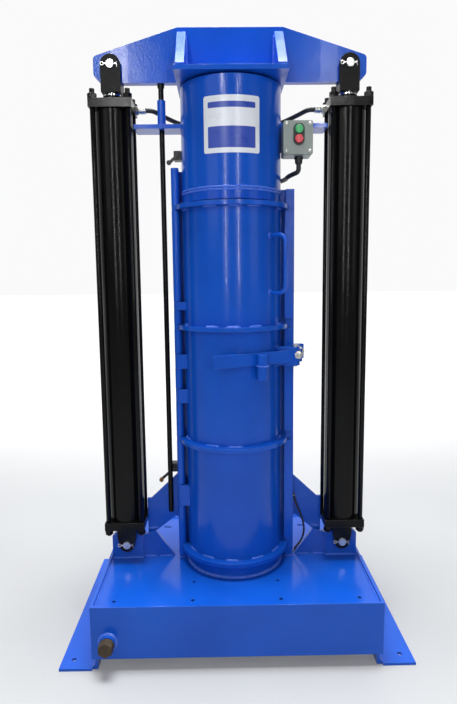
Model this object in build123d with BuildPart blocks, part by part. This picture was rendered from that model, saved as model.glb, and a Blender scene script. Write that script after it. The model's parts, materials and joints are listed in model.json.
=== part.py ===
from build123d import *

import os
from math import cos, radians, sin, sqrt, tan

os.makedirs("parts", exist_ok=True)

# A floor-standing vertical crusher: two hydraulic cylinders pull a crosshead and its ram down into a
# round chamber whose front half is a hinged door. +Z is up, the floor is z = 0, and the chamber's axis
# is x = y = 0. The door faces -Y.

# ---------------------------------------------------------------- driving dimensions (mm)
INCH = 25.4

# Base box and feet
base_half_width = 416.0
base_half_depth = 316.0
base_plate = 8.0
base_underside = 36.0
rim_top = 192.5
rim_height = 9.5
foot_reach = 510.5
foot_plate = 8.0
foot_leg_top = 120.0
foot_inner_fillet = 10.0
anchor_radius = 7.0
anchor_x = 476.0
anchor_y = 276.0
deck_hole_radius = 6.0
deck_hole_inner_x = 128.0
deck_hole_outer_x = 356.0
deck_hole_front_y = -270.0
deck_hole_back_y = -170.0

# Drain in the front apron
drain_x = -368.0
drain_z = 89.0
coupling_radius = 23.0
coupling_bore = 15.0
coupling_stand = 14.0
plug_hex = 38.0
plug_head = 28.0

# Chamber
tube_radius = 6.0 * INCH
tube_wall = 9.5
tube_top = 1668.0
opening_angle = 84.0
anvil_thickness = 32.0
anvil_clearance = 1.0

# Door
door_angle = 76.0
door_gap = 6.0
rib_angle = 80.0
rib_radius = tube_radius + 23.8
rib_plate = 12.7
rib_lowest = 234.0
rib_spacing = 361.5
rib_count = 4
strap_front = 20.0
strap_back = 4.0
strap_bite = 2.4
strap_centres = (409.0, 736.5, 847.5, 1021.5)
strap_heights = (68.0, 43.0, 45.0, 25.0)
handle_angle = 47.0
handle_radius = 6.0
handle_standoff = 56.0
handle_bottom = 1061.0
handle_top = 1230.0
handle_bend = 24.0

# Hinge line
hinge_x = -(tube_radius + 19.6)
hinge_y = -26.0
hinge_pin_radius = 7.9
hinge_bore = hinge_pin_radius + 0.1
knuckle_radius = 12.0
knuckle_gap = 1.6
ear_relief = 0.4
hinge_bottom = 205.0

# Jambs
jamb_front = -14.0
jamb_step = 2.0
jamb_back = 14.0
left_jamb_outer = tube_radius + 31.6
left_jamb_inner = tube_radius + 7.6
left_jamb_top = 1432.0
right_jamb_outer = tube_radius + 41.6
right_jamb_inner = tube_radius + 15.6
right_jamb_top = 1376.0
jamb_web_inner = tube_radius - 12.4
strip_inner = tube_radius + 10.6
strip_outer = tube_radius + 37.6
strip_front = -31.0
strip_top_gap = 3.0
strip_bottom_gap = 15.0

# Latch
latch_z = 867.5
latch_height = 38.0
latch_thickness = 9.5
latch_slope = 26.7
latch_offset = tube_radius + 7.6
latch_reach = 148.8
latch_eye_reach = 132.0
latch_eye_radius = 14.0
latch_pin_radius = 6.35
latch_bore = latch_pin_radius + 0.1
latch_gap = 0.6
latch_ear_plate = 9.0
latch_ear_root = (140.0, -75.0)
latch_ear_root_radius = 12.0
latch_grip_radius = 16.0
latch_grip_place = (84.0, -159.0)
latch_grip_bottom = 805.0
latch_grip_top = 883.0
latch_nose_place = (206.0, -66.0)
latch_nose_radius = 8.0
catch_x = tube_radius + 57.1
catch_z = 873.0
catch_lug_outer = tube_radius + 73.6
catch_lug_plate = 12.7
catch_lug_half = 22.5
catch_stud_radius = 7.95
catch_stud_bore = catch_stud_radius + 0.05
catch_stud_front = -52.0
catch_stud_back = 30.0
catch_nut_hex = 30.0
catch_nut_height = 13.0

# Cylinders
cylinder_x = 14.0 * INCH
lower_pin_z = 237.0
closed_length = 59.0 * INCH
pin_radius = 12.7
pin_bore = pin_radius + 0.1
pin_half_length = 38.0
pin_chamfer = 1.5
cotter_radius = 2.2
cotter_half_length = 19.0
cotter_y = -34.5
barrel_radius = 2.25 * INCH
cap_half = barrel_radius + 6.35
cap_height = 25.4
base_cap_bottom = 300.0
head_cap_top = 1632.0
barrel_bore = barrel_radius - 6.35
piston_height = 42.0
piston_clearance = 0.3
rod_radius = 25.4
rod_clearance = 0.2
gland_radius = 30.0
gland_height = 18.0
tie_rod_radius = 8.0
tie_rod_place = barrel_radius - 5.15
tie_rod_clearance = 0.1
tie_nut_hex = 24.0
tie_nut_height = 14.0
tie_rod_stand = 28.0
clevis_half_depth = 31.0
clevis_slot_half = 13.0
base_clevis_half_width = 30.5
base_clevis_end_radius = 25.0
base_clevis_shoulder = 262.0
base_slot_top = 284.0
rod_clevis_half_width = 29.5
rod_clevis_boss_radius = 29.5
rod_clevis_bottom = 1658.0
rod_clevis_slot_bottom = 1684.0
breather_radius = 7.0
breather_x = 70.6
breather_y = 30.0
breather_z = 312.0
breather_top = 368.0

# Cylinder lugs and braces
lug_half_width = 2.0 * INCH
lug_half_plate = 12.7
lug_top = 277.0
lug_corner = 18.0
brace_foot_front = -2.0
brace_foot_back = 10.0
brace_foot_shoulder = 262.0
brace_foot_inner = 200.0
brace_foot_top = 280.0
brace_foot_drop = 10.0
wing_back = 20.0
wing_flat_x = cylinder_x - barrel_radius - 21.45
wing_outer = cylinder_x - barrel_radius - 9.45
wing_flat_z = 380.0
wing_rise = 0.94
wing_bottom = 250.0
wing_window_x = 262.0
wing_window_z = 267.0
wing_window_top = 327.0

# Crosshead
plate_half = 12.7
plate_bottom = 1688.0
plate_top = 1844.0
plate_reach = 409.0
plate_end_top = 1764.0
plate_flat_half = 157.5
plate_lower_chamfer = 22.0
plate_corner_fillet = 14.0
head_plate_half = 160.0
head_plate_thickness = 12.7
gusset_x = 143.0
gusset_plate = 25.4
gusset_top = 1825.0
gusset_shoulder = 17.0
gusset_toe = 8.0
ram_radius = 4.0 * INCH
ram_wall = 12.7
platen_bottom = 285.0
platen_thickness = 25.4
platen_clearance = 3.4

# Trip rod and guide bar
trip_x = -210.0
trip_radius = 8.0
trip_bottom = 338.0
trip_collar_radius = 10.5
trip_collar_height = 11.0
sleeve_radius = 12.5
sleeve_bore = 8.25
sleeve_bottom = 1559.0
sleeve_top = 1640.0
bar_bottom = 1552.5
bar_thickness = 12.7
bar_front = -30.0
bar_back = 45.0
bar_reach = cylinder_x - barrel_radius - 7.45
bracket_plate = 6.0
bracket_inner = tube_radius - 12.4
bracket_outer = 230.0
bracket_bottom = 1480.0

# Control box
box_left = 150.5
box_right = 236.5
box_bottom = 1461.0
box_top = 1556.0
box_front = -91.0
box_wall = 3.0
box_corner = 6.0
lid_plate = 6.0
screw_inset = 9.0
screw_radius = 3.5
screw_stand = 1.6
bezel_x = 195.5
bezel_z = 1517.0
bezel_half_width = 15.5
bezel_half_height = 30.5
bezel_stand = 6.0
button_pitch = 27.0
button_radius = 12.0
button_clearance = 0.5
button_stand = 5.0
button_tail = 5.0
gland_x = 200.0
gland_drop = 16.0
cable_gland_radius = 13.0
cable_radius = 7.0

# Limit switches
switch_front = 12.0
switch_back = 44.0
switch_half_width = 11.5
switch_half_height = 14.0
upper_switch_x = -(tube_radius + 13.1)
upper_switch_z = 1483.0
upper_roller_x = -191.5
upper_roller_z = 1460.0
lower_switch_x = -(tube_radius + 44.1)
lower_switch_z = 484.0
lower_roller_x = -240.0
lower_roller_z = 446.0
roller_radius = 7.0
roller_length = 9.0
arm_half_width = 4.5
arm_thickness = 3.0
switch_gap = 0.5

# Hydraulic lines
hose_radius = 7.0
hose_z = 1601.0
port_y = 25.0
port_z = 1619.0
fitting_radius = 11.0
fitting_length = 24.0
tee_half_width = 30.0
tee_back = 196.0
tee_half_height = 15.0
supply_stub_radius = 15.0
supply_stub_length = 18.0
supply_bore = 9.0
supply_depth = 16.0

# ---------------------------------------------------------------- derived places
deck_top = rim_top - rim_height
deck_bottom = deck_top - base_plate
inner_half_width = base_half_width - base_plate
inner_half_depth = base_half_depth - base_plate
tube_bore = tube_radius - tube_wall
rib_centres = [rib_lowest + rib_spacing * i for i in range(rib_count)]
rib_half = rib_plate / 2
door_bottom = rib_centres[0] - rib_half
door_top = rib_centres[-1] + rib_half
upper_pin_z = lower_pin_z + closed_length
base_cap_top = base_cap_bottom + cap_height
head_cap_bottom = head_cap_top - cap_height
piston_bottom = base_cap_top + 5.0
latch_bottom = latch_z - latch_height / 2
latch_top = latch_z + latch_height / 2
latch_along = Vector(-cos(radians(latch_slope)), -sin(radians(latch_slope)))
latch_normal = Vector(sin(radians(latch_slope)), -cos(radians(latch_slope)))
latch_middle = latch_normal * latch_offset
latch_eye = latch_middle - latch_along * latch_eye_reach
latch_tip = latch_middle + latch_along * latch_reach
lid_front = box_front - lid_plate
bezel_front = lid_front - bezel_stand


# ---------------------------------------------------------------- small helpers
def block(x0, x1, y0, y1, z0, z1, mode=Mode.ADD):
    """A box from its six faces."""
    with Locations(((x0 + x1) / 2, (y0 + y1) / 2, (z0 + z1) / 2)):
        Box(abs(x1 - x0), abs(y1 - y0), abs(z1 - z0), mode=mode)


def upright(radius, x, y, z0, z1, mode=Mode.ADD):
    """A vertical cylinder between two heights."""
    with Locations((x, y, (z0 + z1) / 2)):
        Cylinder(radius, z1 - z0, mode=mode)


def along_y(radius, x, z, y0, y1, mode=Mode.ADD):
    """A cylinder along Y between two depths."""
    with Locations(Location((x, (y0 + y1) / 2, z), (90, 0, 0))):
        Cylinder(radius, abs(y1 - y0), mode=mode)


def along_x(radius, y, z, x0, x1, mode=Mode.ADD):
    """A cylinder along X between two places."""
    with Locations(Location(((x0 + x1) / 2, y, z), (0, 90, 0))):
        Cylinder(radius, abs(x1 - x0), mode=mode)


def front_sector(angle, reach=400.0):
    """The part of a plan view within an angle either side of -Y."""
    side = (reach * sin(radians(angle)), -reach * cos(radians(angle)))
    return [(0, 0), (-side[0], side[1]), (-reach, -reach), (reach, -reach), side]


def across_flats(width):
    """The corner radius of a hexagon from its width across flats."""
    return width / sqrt(3)


def bend_radii(points):
    """For each inner corner of a route, the largest arc that its two runs leave room for."""
    spots = [Vector(*p) for p in points]
    radii = []
    for before, here, after in zip(spots, spots[1:], spots[2:]):
        into = here - before
        out = after - here
        half_turn = radians(into.get_angle(out)) / 2
        radii.append(0.45 * min(into.length, out.length) / tan(half_turn))
    return radii


def finish(builder, name):
    """Labels a piece and writes it to its own file."""
    builder.part.label = name
    export_step(builder.part, f"parts/{name}.step")


# ---------------------------------------------------------------- base
with BuildPart() as deck_plate:
    block(-inner_half_width, inner_half_width, -inner_half_depth, inner_half_depth, deck_bottom, deck_top)
    for hole_x in (deck_hole_inner_x, deck_hole_outer_x):
        for hole_side in (-1, 1):
            place = hole_side * hole_x
            upright(deck_hole_radius, place, deck_hole_front_y, deck_bottom, deck_top, Mode.SUBTRACT)
    for hole_side in (-1, 1):
        place = hole_side * deck_hole_inner_x
        upright(deck_hole_radius, place, deck_hole_back_y, deck_bottom, deck_top, Mode.SUBTRACT)
finish(deck_plate, "deck_plate")

with BuildPart() as front_apron:
    block(-base_half_width, base_half_width, -base_half_depth, -inner_half_depth, base_underside, rim_top)
    along_y(coupling_radius, drain_x, drain_z, -base_half_depth - coupling_stand, -inner_half_depth)
    along_y(coupling_bore, drain_x, drain_z, -base_half_depth - coupling_stand, -inner_half_depth, Mode.SUBTRACT)
finish(front_apron, "front_apron")

with BuildPart() as rear_apron:
    block(-base_half_width, base_half_width, inner_half_depth, base_half_depth, base_underside, rim_top)
finish(rear_apron, "rear_apron")

# Each side is an upright plate with an angle-iron foot welded inside it.
for side_name, side in (("left", -1), ("right", 1)):
    with BuildPart() as base_side:
        block(
            side * inner_half_width,
            side * base_half_width,
            -inner_half_depth,
            inner_half_depth,
            base_underside,
            rim_top,
        )
        leg_inner = inner_half_width - foot_plate
        with BuildSketch(Plane.XZ):
            Polygon(
                (side * leg_inner, 0),
                (side * foot_reach, 0),
                (side * foot_reach, foot_plate),
                (side * inner_half_width, foot_plate),
                (side * inner_half_width, foot_leg_top),
                (side * leg_inner, foot_leg_top),
            )
        extrude(amount=inner_half_depth, both=True)
        inner_corner = base_side.edges().filter_by(Axis.Y).group_by(Axis.Z)[1]
        fillet(inner_corner.sort_by(Axis.X)[0 if side > 0 else -1], foot_inner_fillet)
        block(
            side * base_half_width,
            side * foot_reach,
            -base_half_depth,
            base_half_depth,
            0,
            foot_plate,
        )
        for anchor_side in (-1, 1):
            upright(anchor_radius, side * anchor_x, anchor_side * anchor_y, 0, foot_plate, Mode.SUBTRACT)
    finish(base_side, f"{side_name}_side")

with BuildPart() as drain_plug:
    plug_shoulder = -base_half_depth - coupling_stand
    along_y(coupling_bore - 0.1, drain_x, drain_z, plug_shoulder, -base_half_depth)
    with BuildSketch(Plane.XZ.offset(-plug_shoulder)):
        with Locations((drain_x, drain_z)):
            RegularPolygon(across_flats(plug_hex), 6)
    extrude(amount=plug_head)
finish(drain_plug, "drain_plug")

with BuildPart() as anvil_plate:
    upright(tube_bore - anvil_clearance, 0, 0, deck_top, deck_top + anvil_thickness)
finish(anvil_plate, "anvil_plate")

# ---------------------------------------------------------------- chamber, jambs and hinge line
with BuildPart() as chamber_tube:
    with BuildSketch(Plane.XY.offset(deck_top)):
        Circle(tube_radius)
        Circle(tube_bore, mode=Mode.SUBTRACT)
    extrude(amount=tube_top - deck_top)
    with BuildSketch(Plane.XY.offset(door_bottom - door_gap)):
        Polygon(*front_sector(opening_angle))
    extrude(amount=door_top - door_bottom + 2 * door_gap, mode=Mode.SUBTRACT)
finish(chamber_tube, "chamber_tube")

with BuildPart() as left_jamb:
    with BuildSketch(Plane.XY.offset(deck_top)):
        Polygon(
            (-left_jamb_outer, jamb_front),
            (-left_jamb_inner, jamb_front),
            (-left_jamb_inner, jamb_step),
            (-jamb_web_inner, jamb_step),
            (-jamb_web_inner, jamb_back),
            (-left_jamb_outer, jamb_back),
        )
        Circle(tube_radius, mode=Mode.SUBTRACT)
    extrude(amount=left_jamb_top - deck_top)
finish(left_jamb, "left_jamb")

with BuildPart() as right_jamb:
    with BuildSketch(Plane.XY.offset(deck_top)):
        Polygon(
            (right_jamb_outer, jamb_front),
            (right_jamb_inner, jamb_front),
            (right_jamb_inner, jamb_step),
            (jamb_web_inner, jamb_step),
            (jamb_web_inner, jamb_back),
            (right_jamb_outer, jamb_back),
        )
        Circle(tube_radius, mode=Mode.SUBTRACT)
    extrude(amount=right_jamb_top - deck_top)
    # A stop strip between each pair of door ribs, notched where a rib's end closes over it.
    for low, high in zip(rib_centres, rib_centres[1:]):
        strip_bottom = low + rib_half + strip_bottom_gap
        strip_top = high - rib_half - strip_top_gap
        block(strip_inner, strip_outer, strip_front, jamb_front, strip_bottom, strip_top)
    lug_low = catch_z - catch_lug_half
    lug_high = catch_z + catch_lug_half
    lug_back = jamb_front + catch_lug_plate
    block(right_jamb_outer, catch_lug_outer, jamb_front, lug_back, lug_low, lug_high)
    along_y(catch_stud_bore, catch_x, catch_z, jamb_front, lug_back, Mode.SUBTRACT)
finish(right_jamb, "right_jamb")

with BuildPart() as catch_stud:
    along_y(catch_stud_radius, catch_x, catch_z, catch_stud_front, catch_stud_back)
    for nut_face in (jamb_front - catch_nut_height, jamb_front + catch_lug_plate):
        with BuildSketch(Plane.XZ.offset(-nut_face)):
            with Locations((catch_x, catch_z)):
                RegularPolygon(across_flats(catch_nut_hex), 6, rotation=30)
        extrude(amount=-catch_nut_height)
finish(catch_stud, "catch_stud")

# The door's ears take these stretches of the hinge line, and fixed knuckles fill the rest.
ear_spans = [(z - rib_half, z + rib_half) for z in rib_centres]
ear_spans += [(z - h / 2, z + h / 2) for z, h in zip(strap_centres, strap_heights)]
ear_spans.sort()
knuckle_starts = [hinge_bottom] + [high + knuckle_gap for low, high in ear_spans]
knuckle_ends = [low - knuckle_gap for low, high in ear_spans] + [left_jamb_top]

with BuildPart() as hinge_knuckles:
    for low, high in zip(knuckle_starts, knuckle_ends):
        upright(knuckle_radius, hinge_x, hinge_y, low, high)
        block(-left_jamb_outer, -left_jamb_inner, hinge_y, jamb_front, low, high)
    upright(hinge_bore, hinge_x, hinge_y, hinge_bottom, left_jamb_top, Mode.SUBTRACT)
finish(hinge_knuckles, "hinge_knuckles")

with BuildPart() as hinge_pin:
    upright(hinge_pin_radius, hinge_x, hinge_y, hinge_bottom, left_jamb_top)
    upright(knuckle_radius, hinge_x, hinge_y, left_jamb_top, left_jamb_top + 5)
finish(hinge_pin, "hinge_pin")

# ---------------------------------------------------------------- door
with BuildPart() as door_shell:
    with BuildSketch(Plane.XY.offset(door_bottom)):
        Circle(tube_radius)
        Circle(tube_bore, mode=Mode.SUBTRACT)
        Polygon(*front_sector(door_angle), mode=Mode.INTERSECT)
    extrude(amount=door_top - door_bottom)
    # Straps reach round from the shell to the hinge line.
    for centre, height in zip(strap_centres, strap_heights):
        with BuildSketch(Plane.XY.offset(centre - height / 2)):
            Polygon(
                (hinge_x, hinge_y - strap_front),
                (-jamb_web_inner, hinge_y - strap_front),
                (-jamb_web_inner, hinge_y - strap_back),
                (hinge_x, hinge_y - strap_back),
            )
            Circle(tube_radius - strap_bite, mode=Mode.SUBTRACT)
            with Locations((hinge_x, hinge_y)):
                Circle(knuckle_radius - ear_relief)
                Circle(hinge_bore + 0.05, mode=Mode.SUBTRACT)
        extrude(amount=height)
    # Two ears at the free edge hold the latch lever's eye.
    for ear_bottom in (latch_bottom - latch_gap - latch_ear_plate, latch_top + latch_gap):
        with BuildSketch(Plane.XY.offset(ear_bottom)):
            with Locations((latch_eye.X, latch_eye.Y)):
                Circle(latch_eye_radius)
            with Locations(latch_ear_root):
                Circle(latch_ear_root_radius)
            make_hull()
            Circle(tube_radius - strap_bite, mode=Mode.SUBTRACT)
            with Locations((latch_eye.X, latch_eye.Y)):
                Circle(latch_bore, mode=Mode.SUBTRACT)
        extrude(amount=latch_ear_plate)
finish(door_shell, "door_shell")

with BuildPart() as door_ribs:
    for centre in rib_centres:
        with BuildSketch(Plane.XY.offset(centre - rib_half)):
            Circle(rib_radius)
            Circle(tube_radius, mode=Mode.SUBTRACT)
            Polygon(*front_sector(rib_angle), mode=Mode.INTERSECT)
            with Locations((hinge_x, hinge_y)):
                Circle(knuckle_radius - ear_relief)
                Circle(hinge_bore + 0.05, mode=Mode.SUBTRACT)
        extrude(amount=rib_plate)
finish(door_ribs, "door_ribs")

handle_out = Vector(sin(radians(handle_angle)), -cos(radians(handle_angle)))
with BuildPart() as door_handle:
    grip_spot = handle_out * (tube_radius + handle_standoff)
    root_spot = handle_out * (tube_radius - 1)
    with BuildLine():
        FilletPolyline(
            (root_spot.X, root_spot.Y, handle_bottom),
            (grip_spot.X, grip_spot.Y, handle_bottom),
            (grip_spot.X, grip_spot.Y, handle_top),
            (root_spot.X, root_spot.Y, handle_top),
            radius=handle_bend,
        )
    with BuildSketch(Plane((root_spot.X, root_spot.Y, handle_bottom), z_dir=handle_out)):
        Circle(handle_radius)
    sweep()
    upright(tube_radius, 0, 0, handle_bottom - 20, handle_top + 20, Mode.SUBTRACT)
finish(door_handle, "door_handle")

# ---------------------------------------------------------------- latch lever
with BuildPart() as latch_lever:
    with BuildSketch(Plane.XY.offset(latch_bottom)):
        half_bar = latch_normal * (latch_thickness / 2)
        Polygon(
            *[(p.X, p.Y) for p in (latch_eye - half_bar, latch_tip - half_bar)],
            *[(p.X, p.Y) for p in (latch_tip + half_bar, latch_eye + half_bar)],
        )
        with Locations((latch_eye.X, latch_eye.Y)):
            Circle(latch_eye_radius)
    extrude(amount=latch_height)
    # The cam nose behind the eye meets the catch stud.
    with BuildSketch(Plane.XY.offset(latch_bottom)):
        with Locations((latch_eye.X, latch_eye.Y)):
            Circle(latch_eye_radius - 2)
        with Locations(latch_nose_place):
            Circle(latch_nose_radius)
        make_hull()
    extrude(amount=latch_height)
    upright(latch_bore, latch_eye.X, latch_eye.Y, latch_bottom, latch_top, Mode.SUBTRACT)
    upright(latch_grip_radius, *latch_grip_place, latch_grip_bottom, latch_grip_top)
    grip_rims = latch_lever.edges().filter_by(GeomType.CIRCLE)
    grip_rims = grip_rims.filter_by(lambda e: abs(e.radius - latch_grip_radius) < 0.01)
    fillet(grip_rims.sort_by(Axis.Z)[0], 2)
finish(latch_lever, "latch_lever")

with BuildPart() as latch_pin:
    pin_low = latch_bottom - latch_gap - latch_ear_plate
    pin_high = latch_top + latch_gap + latch_ear_plate
    upright(latch_pin_radius, latch_eye.X, latch_eye.Y, pin_low - 4, pin_high)
    upright(latch_pin_radius + 3.5, latch_eye.X, latch_eye.Y, pin_high, pin_high + 5)
finish(latch_pin, "latch_pin")

# ---------------------------------------------------------------- lugs and braces beside the chamber
for side_name, side in (("left", -1), ("right", 1)):
    centre = side * cylinder_x
    with BuildPart() as lug:
        block(centre - lug_half_width, centre + lug_half_width, -lug_half_plate, lug_half_plate, deck_top, lug_top)
        chamfer(lug.edges().filter_by(Axis.Y).group_by(Axis.Z)[-1], lug_corner)
        along_y(pin_bore, centre, lower_pin_z, -lug_half_plate, lug_half_plate, Mode.SUBTRACT)
        lug_inner = side * (cylinder_x - lug_half_width + 2)
        with BuildSketch(Plane.XZ.offset(-brace_foot_back)):
            Polygon(
                (lug_inner, deck_top),
                (side * brace_foot_inner, deck_top),
                (side * brace_foot_shoulder, brace_foot_top - brace_foot_drop),
                (lug_inner, lug_top - lug_corner - 2),
            )
        extrude(amount=brace_foot_back - brace_foot_front)
    finish(lug, f"{side_name}_lug")

    jamb_outer = left_jamb_outer if side < 0 else right_jamb_outer
    with BuildPart() as wing:
        with BuildSketch(Plane.XZ.offset(-wing_back)):
            Polygon(
                (side * jamb_outer, wing_flat_z + (wing_flat_x - jamb_outer) * wing_rise),
                (side * wing_flat_x, wing_flat_z),
                (side * wing_outer, wing_flat_z),
                (side * wing_outer, wing_bottom),
                (side * (wing_window_x + 6), wing_bottom),
                (side * wing_window_x, wing_window_z),
                (side * jamb_outer, wing_window_top),
            )
        extrude(amount=wing_back - brace_foot_back)
    finish(wing, f"{side_name}_wing")

# ---------------------------------------------------------------- hydraulic cylinders
tie_rod_spots = [(x, y) for x in (-tie_rod_place, tie_rod_place) for y in (-tie_rod_place, tie_rod_place)]

for side_name, side in (("left", -1), ("right", 1)):
    centre = side * cylinder_x

    with BuildPart() as base_cap:
        block(centre - cap_half, centre + cap_half, -cap_half, cap_half, base_cap_bottom, base_cap_top)
        with BuildSketch(Plane.XZ):
            with Locations((centre, lower_pin_z)):
                Circle(base_clevis_end_radius)
            Polygon(
                (centre - base_clevis_end_radius, lower_pin_z),
                (centre + base_clevis_end_radius, lower_pin_z),
                (centre + base_clevis_half_width, base_clevis_shoulder),
                (centre + base_clevis_half_width, base_cap_bottom),
                (centre - base_clevis_half_width, base_cap_bottom),
                (centre - base_clevis_half_width, base_clevis_shoulder),
            )
        extrude(amount=clevis_half_depth, both=True)
        slot_low = lower_pin_z - base_clevis_end_radius
        slot_side = base_clevis_half_width + 1
        block(
            centre - slot_side,
            centre + slot_side,
            -clevis_slot_half,
            clevis_slot_half,
            slot_low,
            base_slot_top,
            Mode.SUBTRACT,
        )
        along_y(pin_bore, centre, lower_pin_z, -clevis_half_depth, clevis_half_depth, Mode.SUBTRACT)
        for x, y in tie_rod_spots:
            upright(tie_rod_radius + tie_rod_clearance, centre + x, y, base_cap_bottom, base_cap_top, Mode.SUBTRACT)
        # A breather pipe rises beside the barrel from the cap's inner face.
        pipe_x = centre - side * breather_x
        cap_face = centre - side * cap_half
        along_x(breather_radius, breather_y, breather_z, cap_face, pipe_x - side * breather_radius)
        upright(breather_radius, pipe_x, breather_y, breather_z, breather_top)
    finish(base_cap, f"{side_name}_base_cap")

    with BuildPart() as barrel:
        upright(barrel_radius, centre, 0, base_cap_top, head_cap_bottom)
        upright(barrel_bore, centre, 0, base_cap_top, head_cap_bottom, Mode.SUBTRACT)
    finish(barrel, f"{side_name}_barrel")

    with BuildPart() as head_cap:
        block(centre - cap_half, centre + cap_half, -cap_half, cap_half, head_cap_bottom, head_cap_top)
        upright(gland_radius, centre, 0, head_cap_top, head_cap_top + gland_height)
        rod_hole = rod_radius + rod_clearance
        upright(rod_hole, centre, 0, head_cap_bottom, head_cap_top + gland_height, Mode.SUBTRACT)
        for x, y in tie_rod_spots:
            upright(tie_rod_radius + tie_rod_clearance, centre + x, y, head_cap_bottom, head_cap_top, Mode.SUBTRACT)
    finish(head_cap, f"{side_name}_head_cap")

    with BuildPart() as tie_rods:
        for x, y in tie_rod_spots:
            rod_low = base_cap_bottom - tie_nut_height - 4
            rod_high = head_cap_top + tie_rod_stand
            upright(tie_rod_radius, centre + x, y, rod_low, rod_high)
            for nut_bottom in (base_cap_bottom - tie_nut_height, head_cap_top):
                with BuildSketch(Plane.XY.offset(nut_bottom)):
                    with Locations((centre + x, y)):
                        RegularPolygon(across_flats(tie_nut_hex), 6)
                extrude(amount=tie_nut_height)
    finish(tie_rods, f"{side_name}_tie_rods")

    with BuildPart() as piston_rod:
        upright(barrel_bore - piston_clearance, centre, 0, piston_bottom, piston_bottom + piston_height)
        upright(rod_radius, centre, 0, piston_bottom, rod_clevis_bottom)
    finish(piston_rod, f"{side_name}_piston_rod")

    with BuildPart() as rod_clevis:
        with BuildSketch(Plane.XZ):
            with Locations((centre, upper_pin_z)):
                Circle(rod_clevis_boss_radius)
            Polygon(
                (centre - rod_clevis_half_width, rod_clevis_bottom),
                (centre + rod_clevis_half_width, rod_clevis_bottom),
                (centre + rod_clevis_half_width, upper_pin_z),
                (centre - rod_clevis_half_width, upper_pin_z),
            )
        extrude(amount=clevis_half_depth, both=True)
        block(
            centre - rod_clevis_boss_radius - 1,
            centre + rod_clevis_boss_radius + 1,
            -clevis_slot_half,
            clevis_slot_half,
            rod_clevis_slot_bottom,
            upper_pin_z + rod_clevis_boss_radius,
            Mode.SUBTRACT,
        )
        along_y(pin_bore, centre, upper_pin_z, -clevis_half_depth, clevis_half_depth, Mode.SUBTRACT)
    finish(rod_clevis, f"{side_name}_rod_clevis")

    for level, height in (("lower", lower_pin_z), ("upper", upper_pin_z)):
        with BuildPart() as pin:
            along_y(pin_radius, centre, height, -pin_half_length, pin_half_length)
            chamfer(pin.edges().filter_by(GeomType.CIRCLE), pin_chamfer)
            along_x(cotter_radius, cotter_y, height, centre - cotter_half_length, centre + cotter_half_length)
        finish(pin, f"{side_name}_{level}_pin")

# ---------------------------------------------------------------- crosshead
with BuildPart() as cross_plate:
    with BuildSketch(Plane.XZ):
        Polygon(
            (-plate_reach + plate_lower_chamfer, plate_bottom),
            (plate_reach - plate_lower_chamfer, plate_bottom),
            (plate_reach, plate_bottom + plate_lower_chamfer),
            (plate_reach, plate_end_top),
            (plate_flat_half, plate_top),
            (-plate_flat_half, plate_top),
            (-plate_reach, plate_end_top),
            (-plate_reach, plate_bottom + plate_lower_chamfer),
        )
    extrude(amount=plate_half, both=True)
    ends = cross_plate.edges().filter_by(Axis.Y).group_by(Axis.X)
    fillet(ends[0] + ends[-1], plate_corner_fillet)
    for side in (-1, 1):
        along_y(pin_bore, side * cylinder_x, upper_pin_z, -plate_half, plate_half, Mode.SUBTRACT)
finish(cross_plate, "cross_plate")

head_plate_bottom = plate_bottom - head_plate_thickness
with BuildPart() as head_plate:
    half = head_plate_half
    block(-half, half, -half, half, head_plate_bottom, plate_bottom)
finish(head_plate, "head_plate")

with BuildPart() as gussets:
    for side in (-1, 1):
        with BuildSketch(Plane.YZ.offset(side * gusset_x - gusset_plate / 2)):
            for face in (-1, 1):
                Polygon(
                    (face * plate_half, plate_bottom),
                    (face * (head_plate_half - gusset_toe), plate_bottom),
                    (face * (head_plate_half - gusset_toe), plate_bottom + gusset_toe),
                    (face * (plate_half + gusset_shoulder), gusset_top),
                    (face * plate_half, gusset_top),
                )
        extrude(amount=gusset_plate)
finish(gussets, "gussets")

with BuildPart() as ram:
    upright(ram_radius, 0, 0, platen_bottom + platen_thickness, head_plate_bottom)
    upright(ram_radius - ram_wall, 0, 0, platen_bottom + platen_thickness, head_plate_bottom, Mode.SUBTRACT)
    upright(tube_bore - platen_clearance, 0, 0, platen_bottom, platen_bottom + platen_thickness)
    chamfer(ram.edges().group_by(Axis.Z)[0], 2)
finish(ram, "ram")

with BuildPart() as trip_rod:
    upright(trip_radius, trip_x, 0, trip_bottom, plate_bottom)
    upright(trip_collar_radius, trip_x, 0, plate_bottom - trip_collar_height, plate_bottom)
    chamfer(trip_rod.edges().group_by(Axis.Z)[0], 1.5)
finish(trip_rod, "trip_rod")

# ---------------------------------------------------------------- guide bar, sleeve and box bracket
with BuildPart() as guide_bar:
    for side in (-1, 1):
        block(side * bracket_inner, side * bar_reach, bar_front, bar_back, bar_bottom, bar_bottom + bar_thickness)
    block(bracket_inner, bracket_outer, bar_front, bar_front + bracket_plate, bracket_bottom, bar_bottom)
    upright(sleeve_radius, trip_x, 0, sleeve_bottom, sleeve_top)
    upright(sleeve_bore, trip_x, 0, bar_bottom, sleeve_top, Mode.SUBTRACT)
    upright(tube_radius, 0, 0, bracket_bottom - 10, sleeve_top, Mode.SUBTRACT)
finish(guide_bar, "guide_bar")

# ---------------------------------------------------------------- control box
with BuildPart() as control_box:
    block(box_left, box_right, box_front, bar_front, box_bottom, box_top)
    fillet(control_box.edges().filter_by(Axis.Y), box_corner)
    inner = (box_left + box_wall, box_right - box_wall)
    block(*inner, box_front, bar_front - box_wall, box_bottom + box_wall, box_top - box_wall, Mode.SUBTRACT)
finish(control_box, "control_box")

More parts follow.
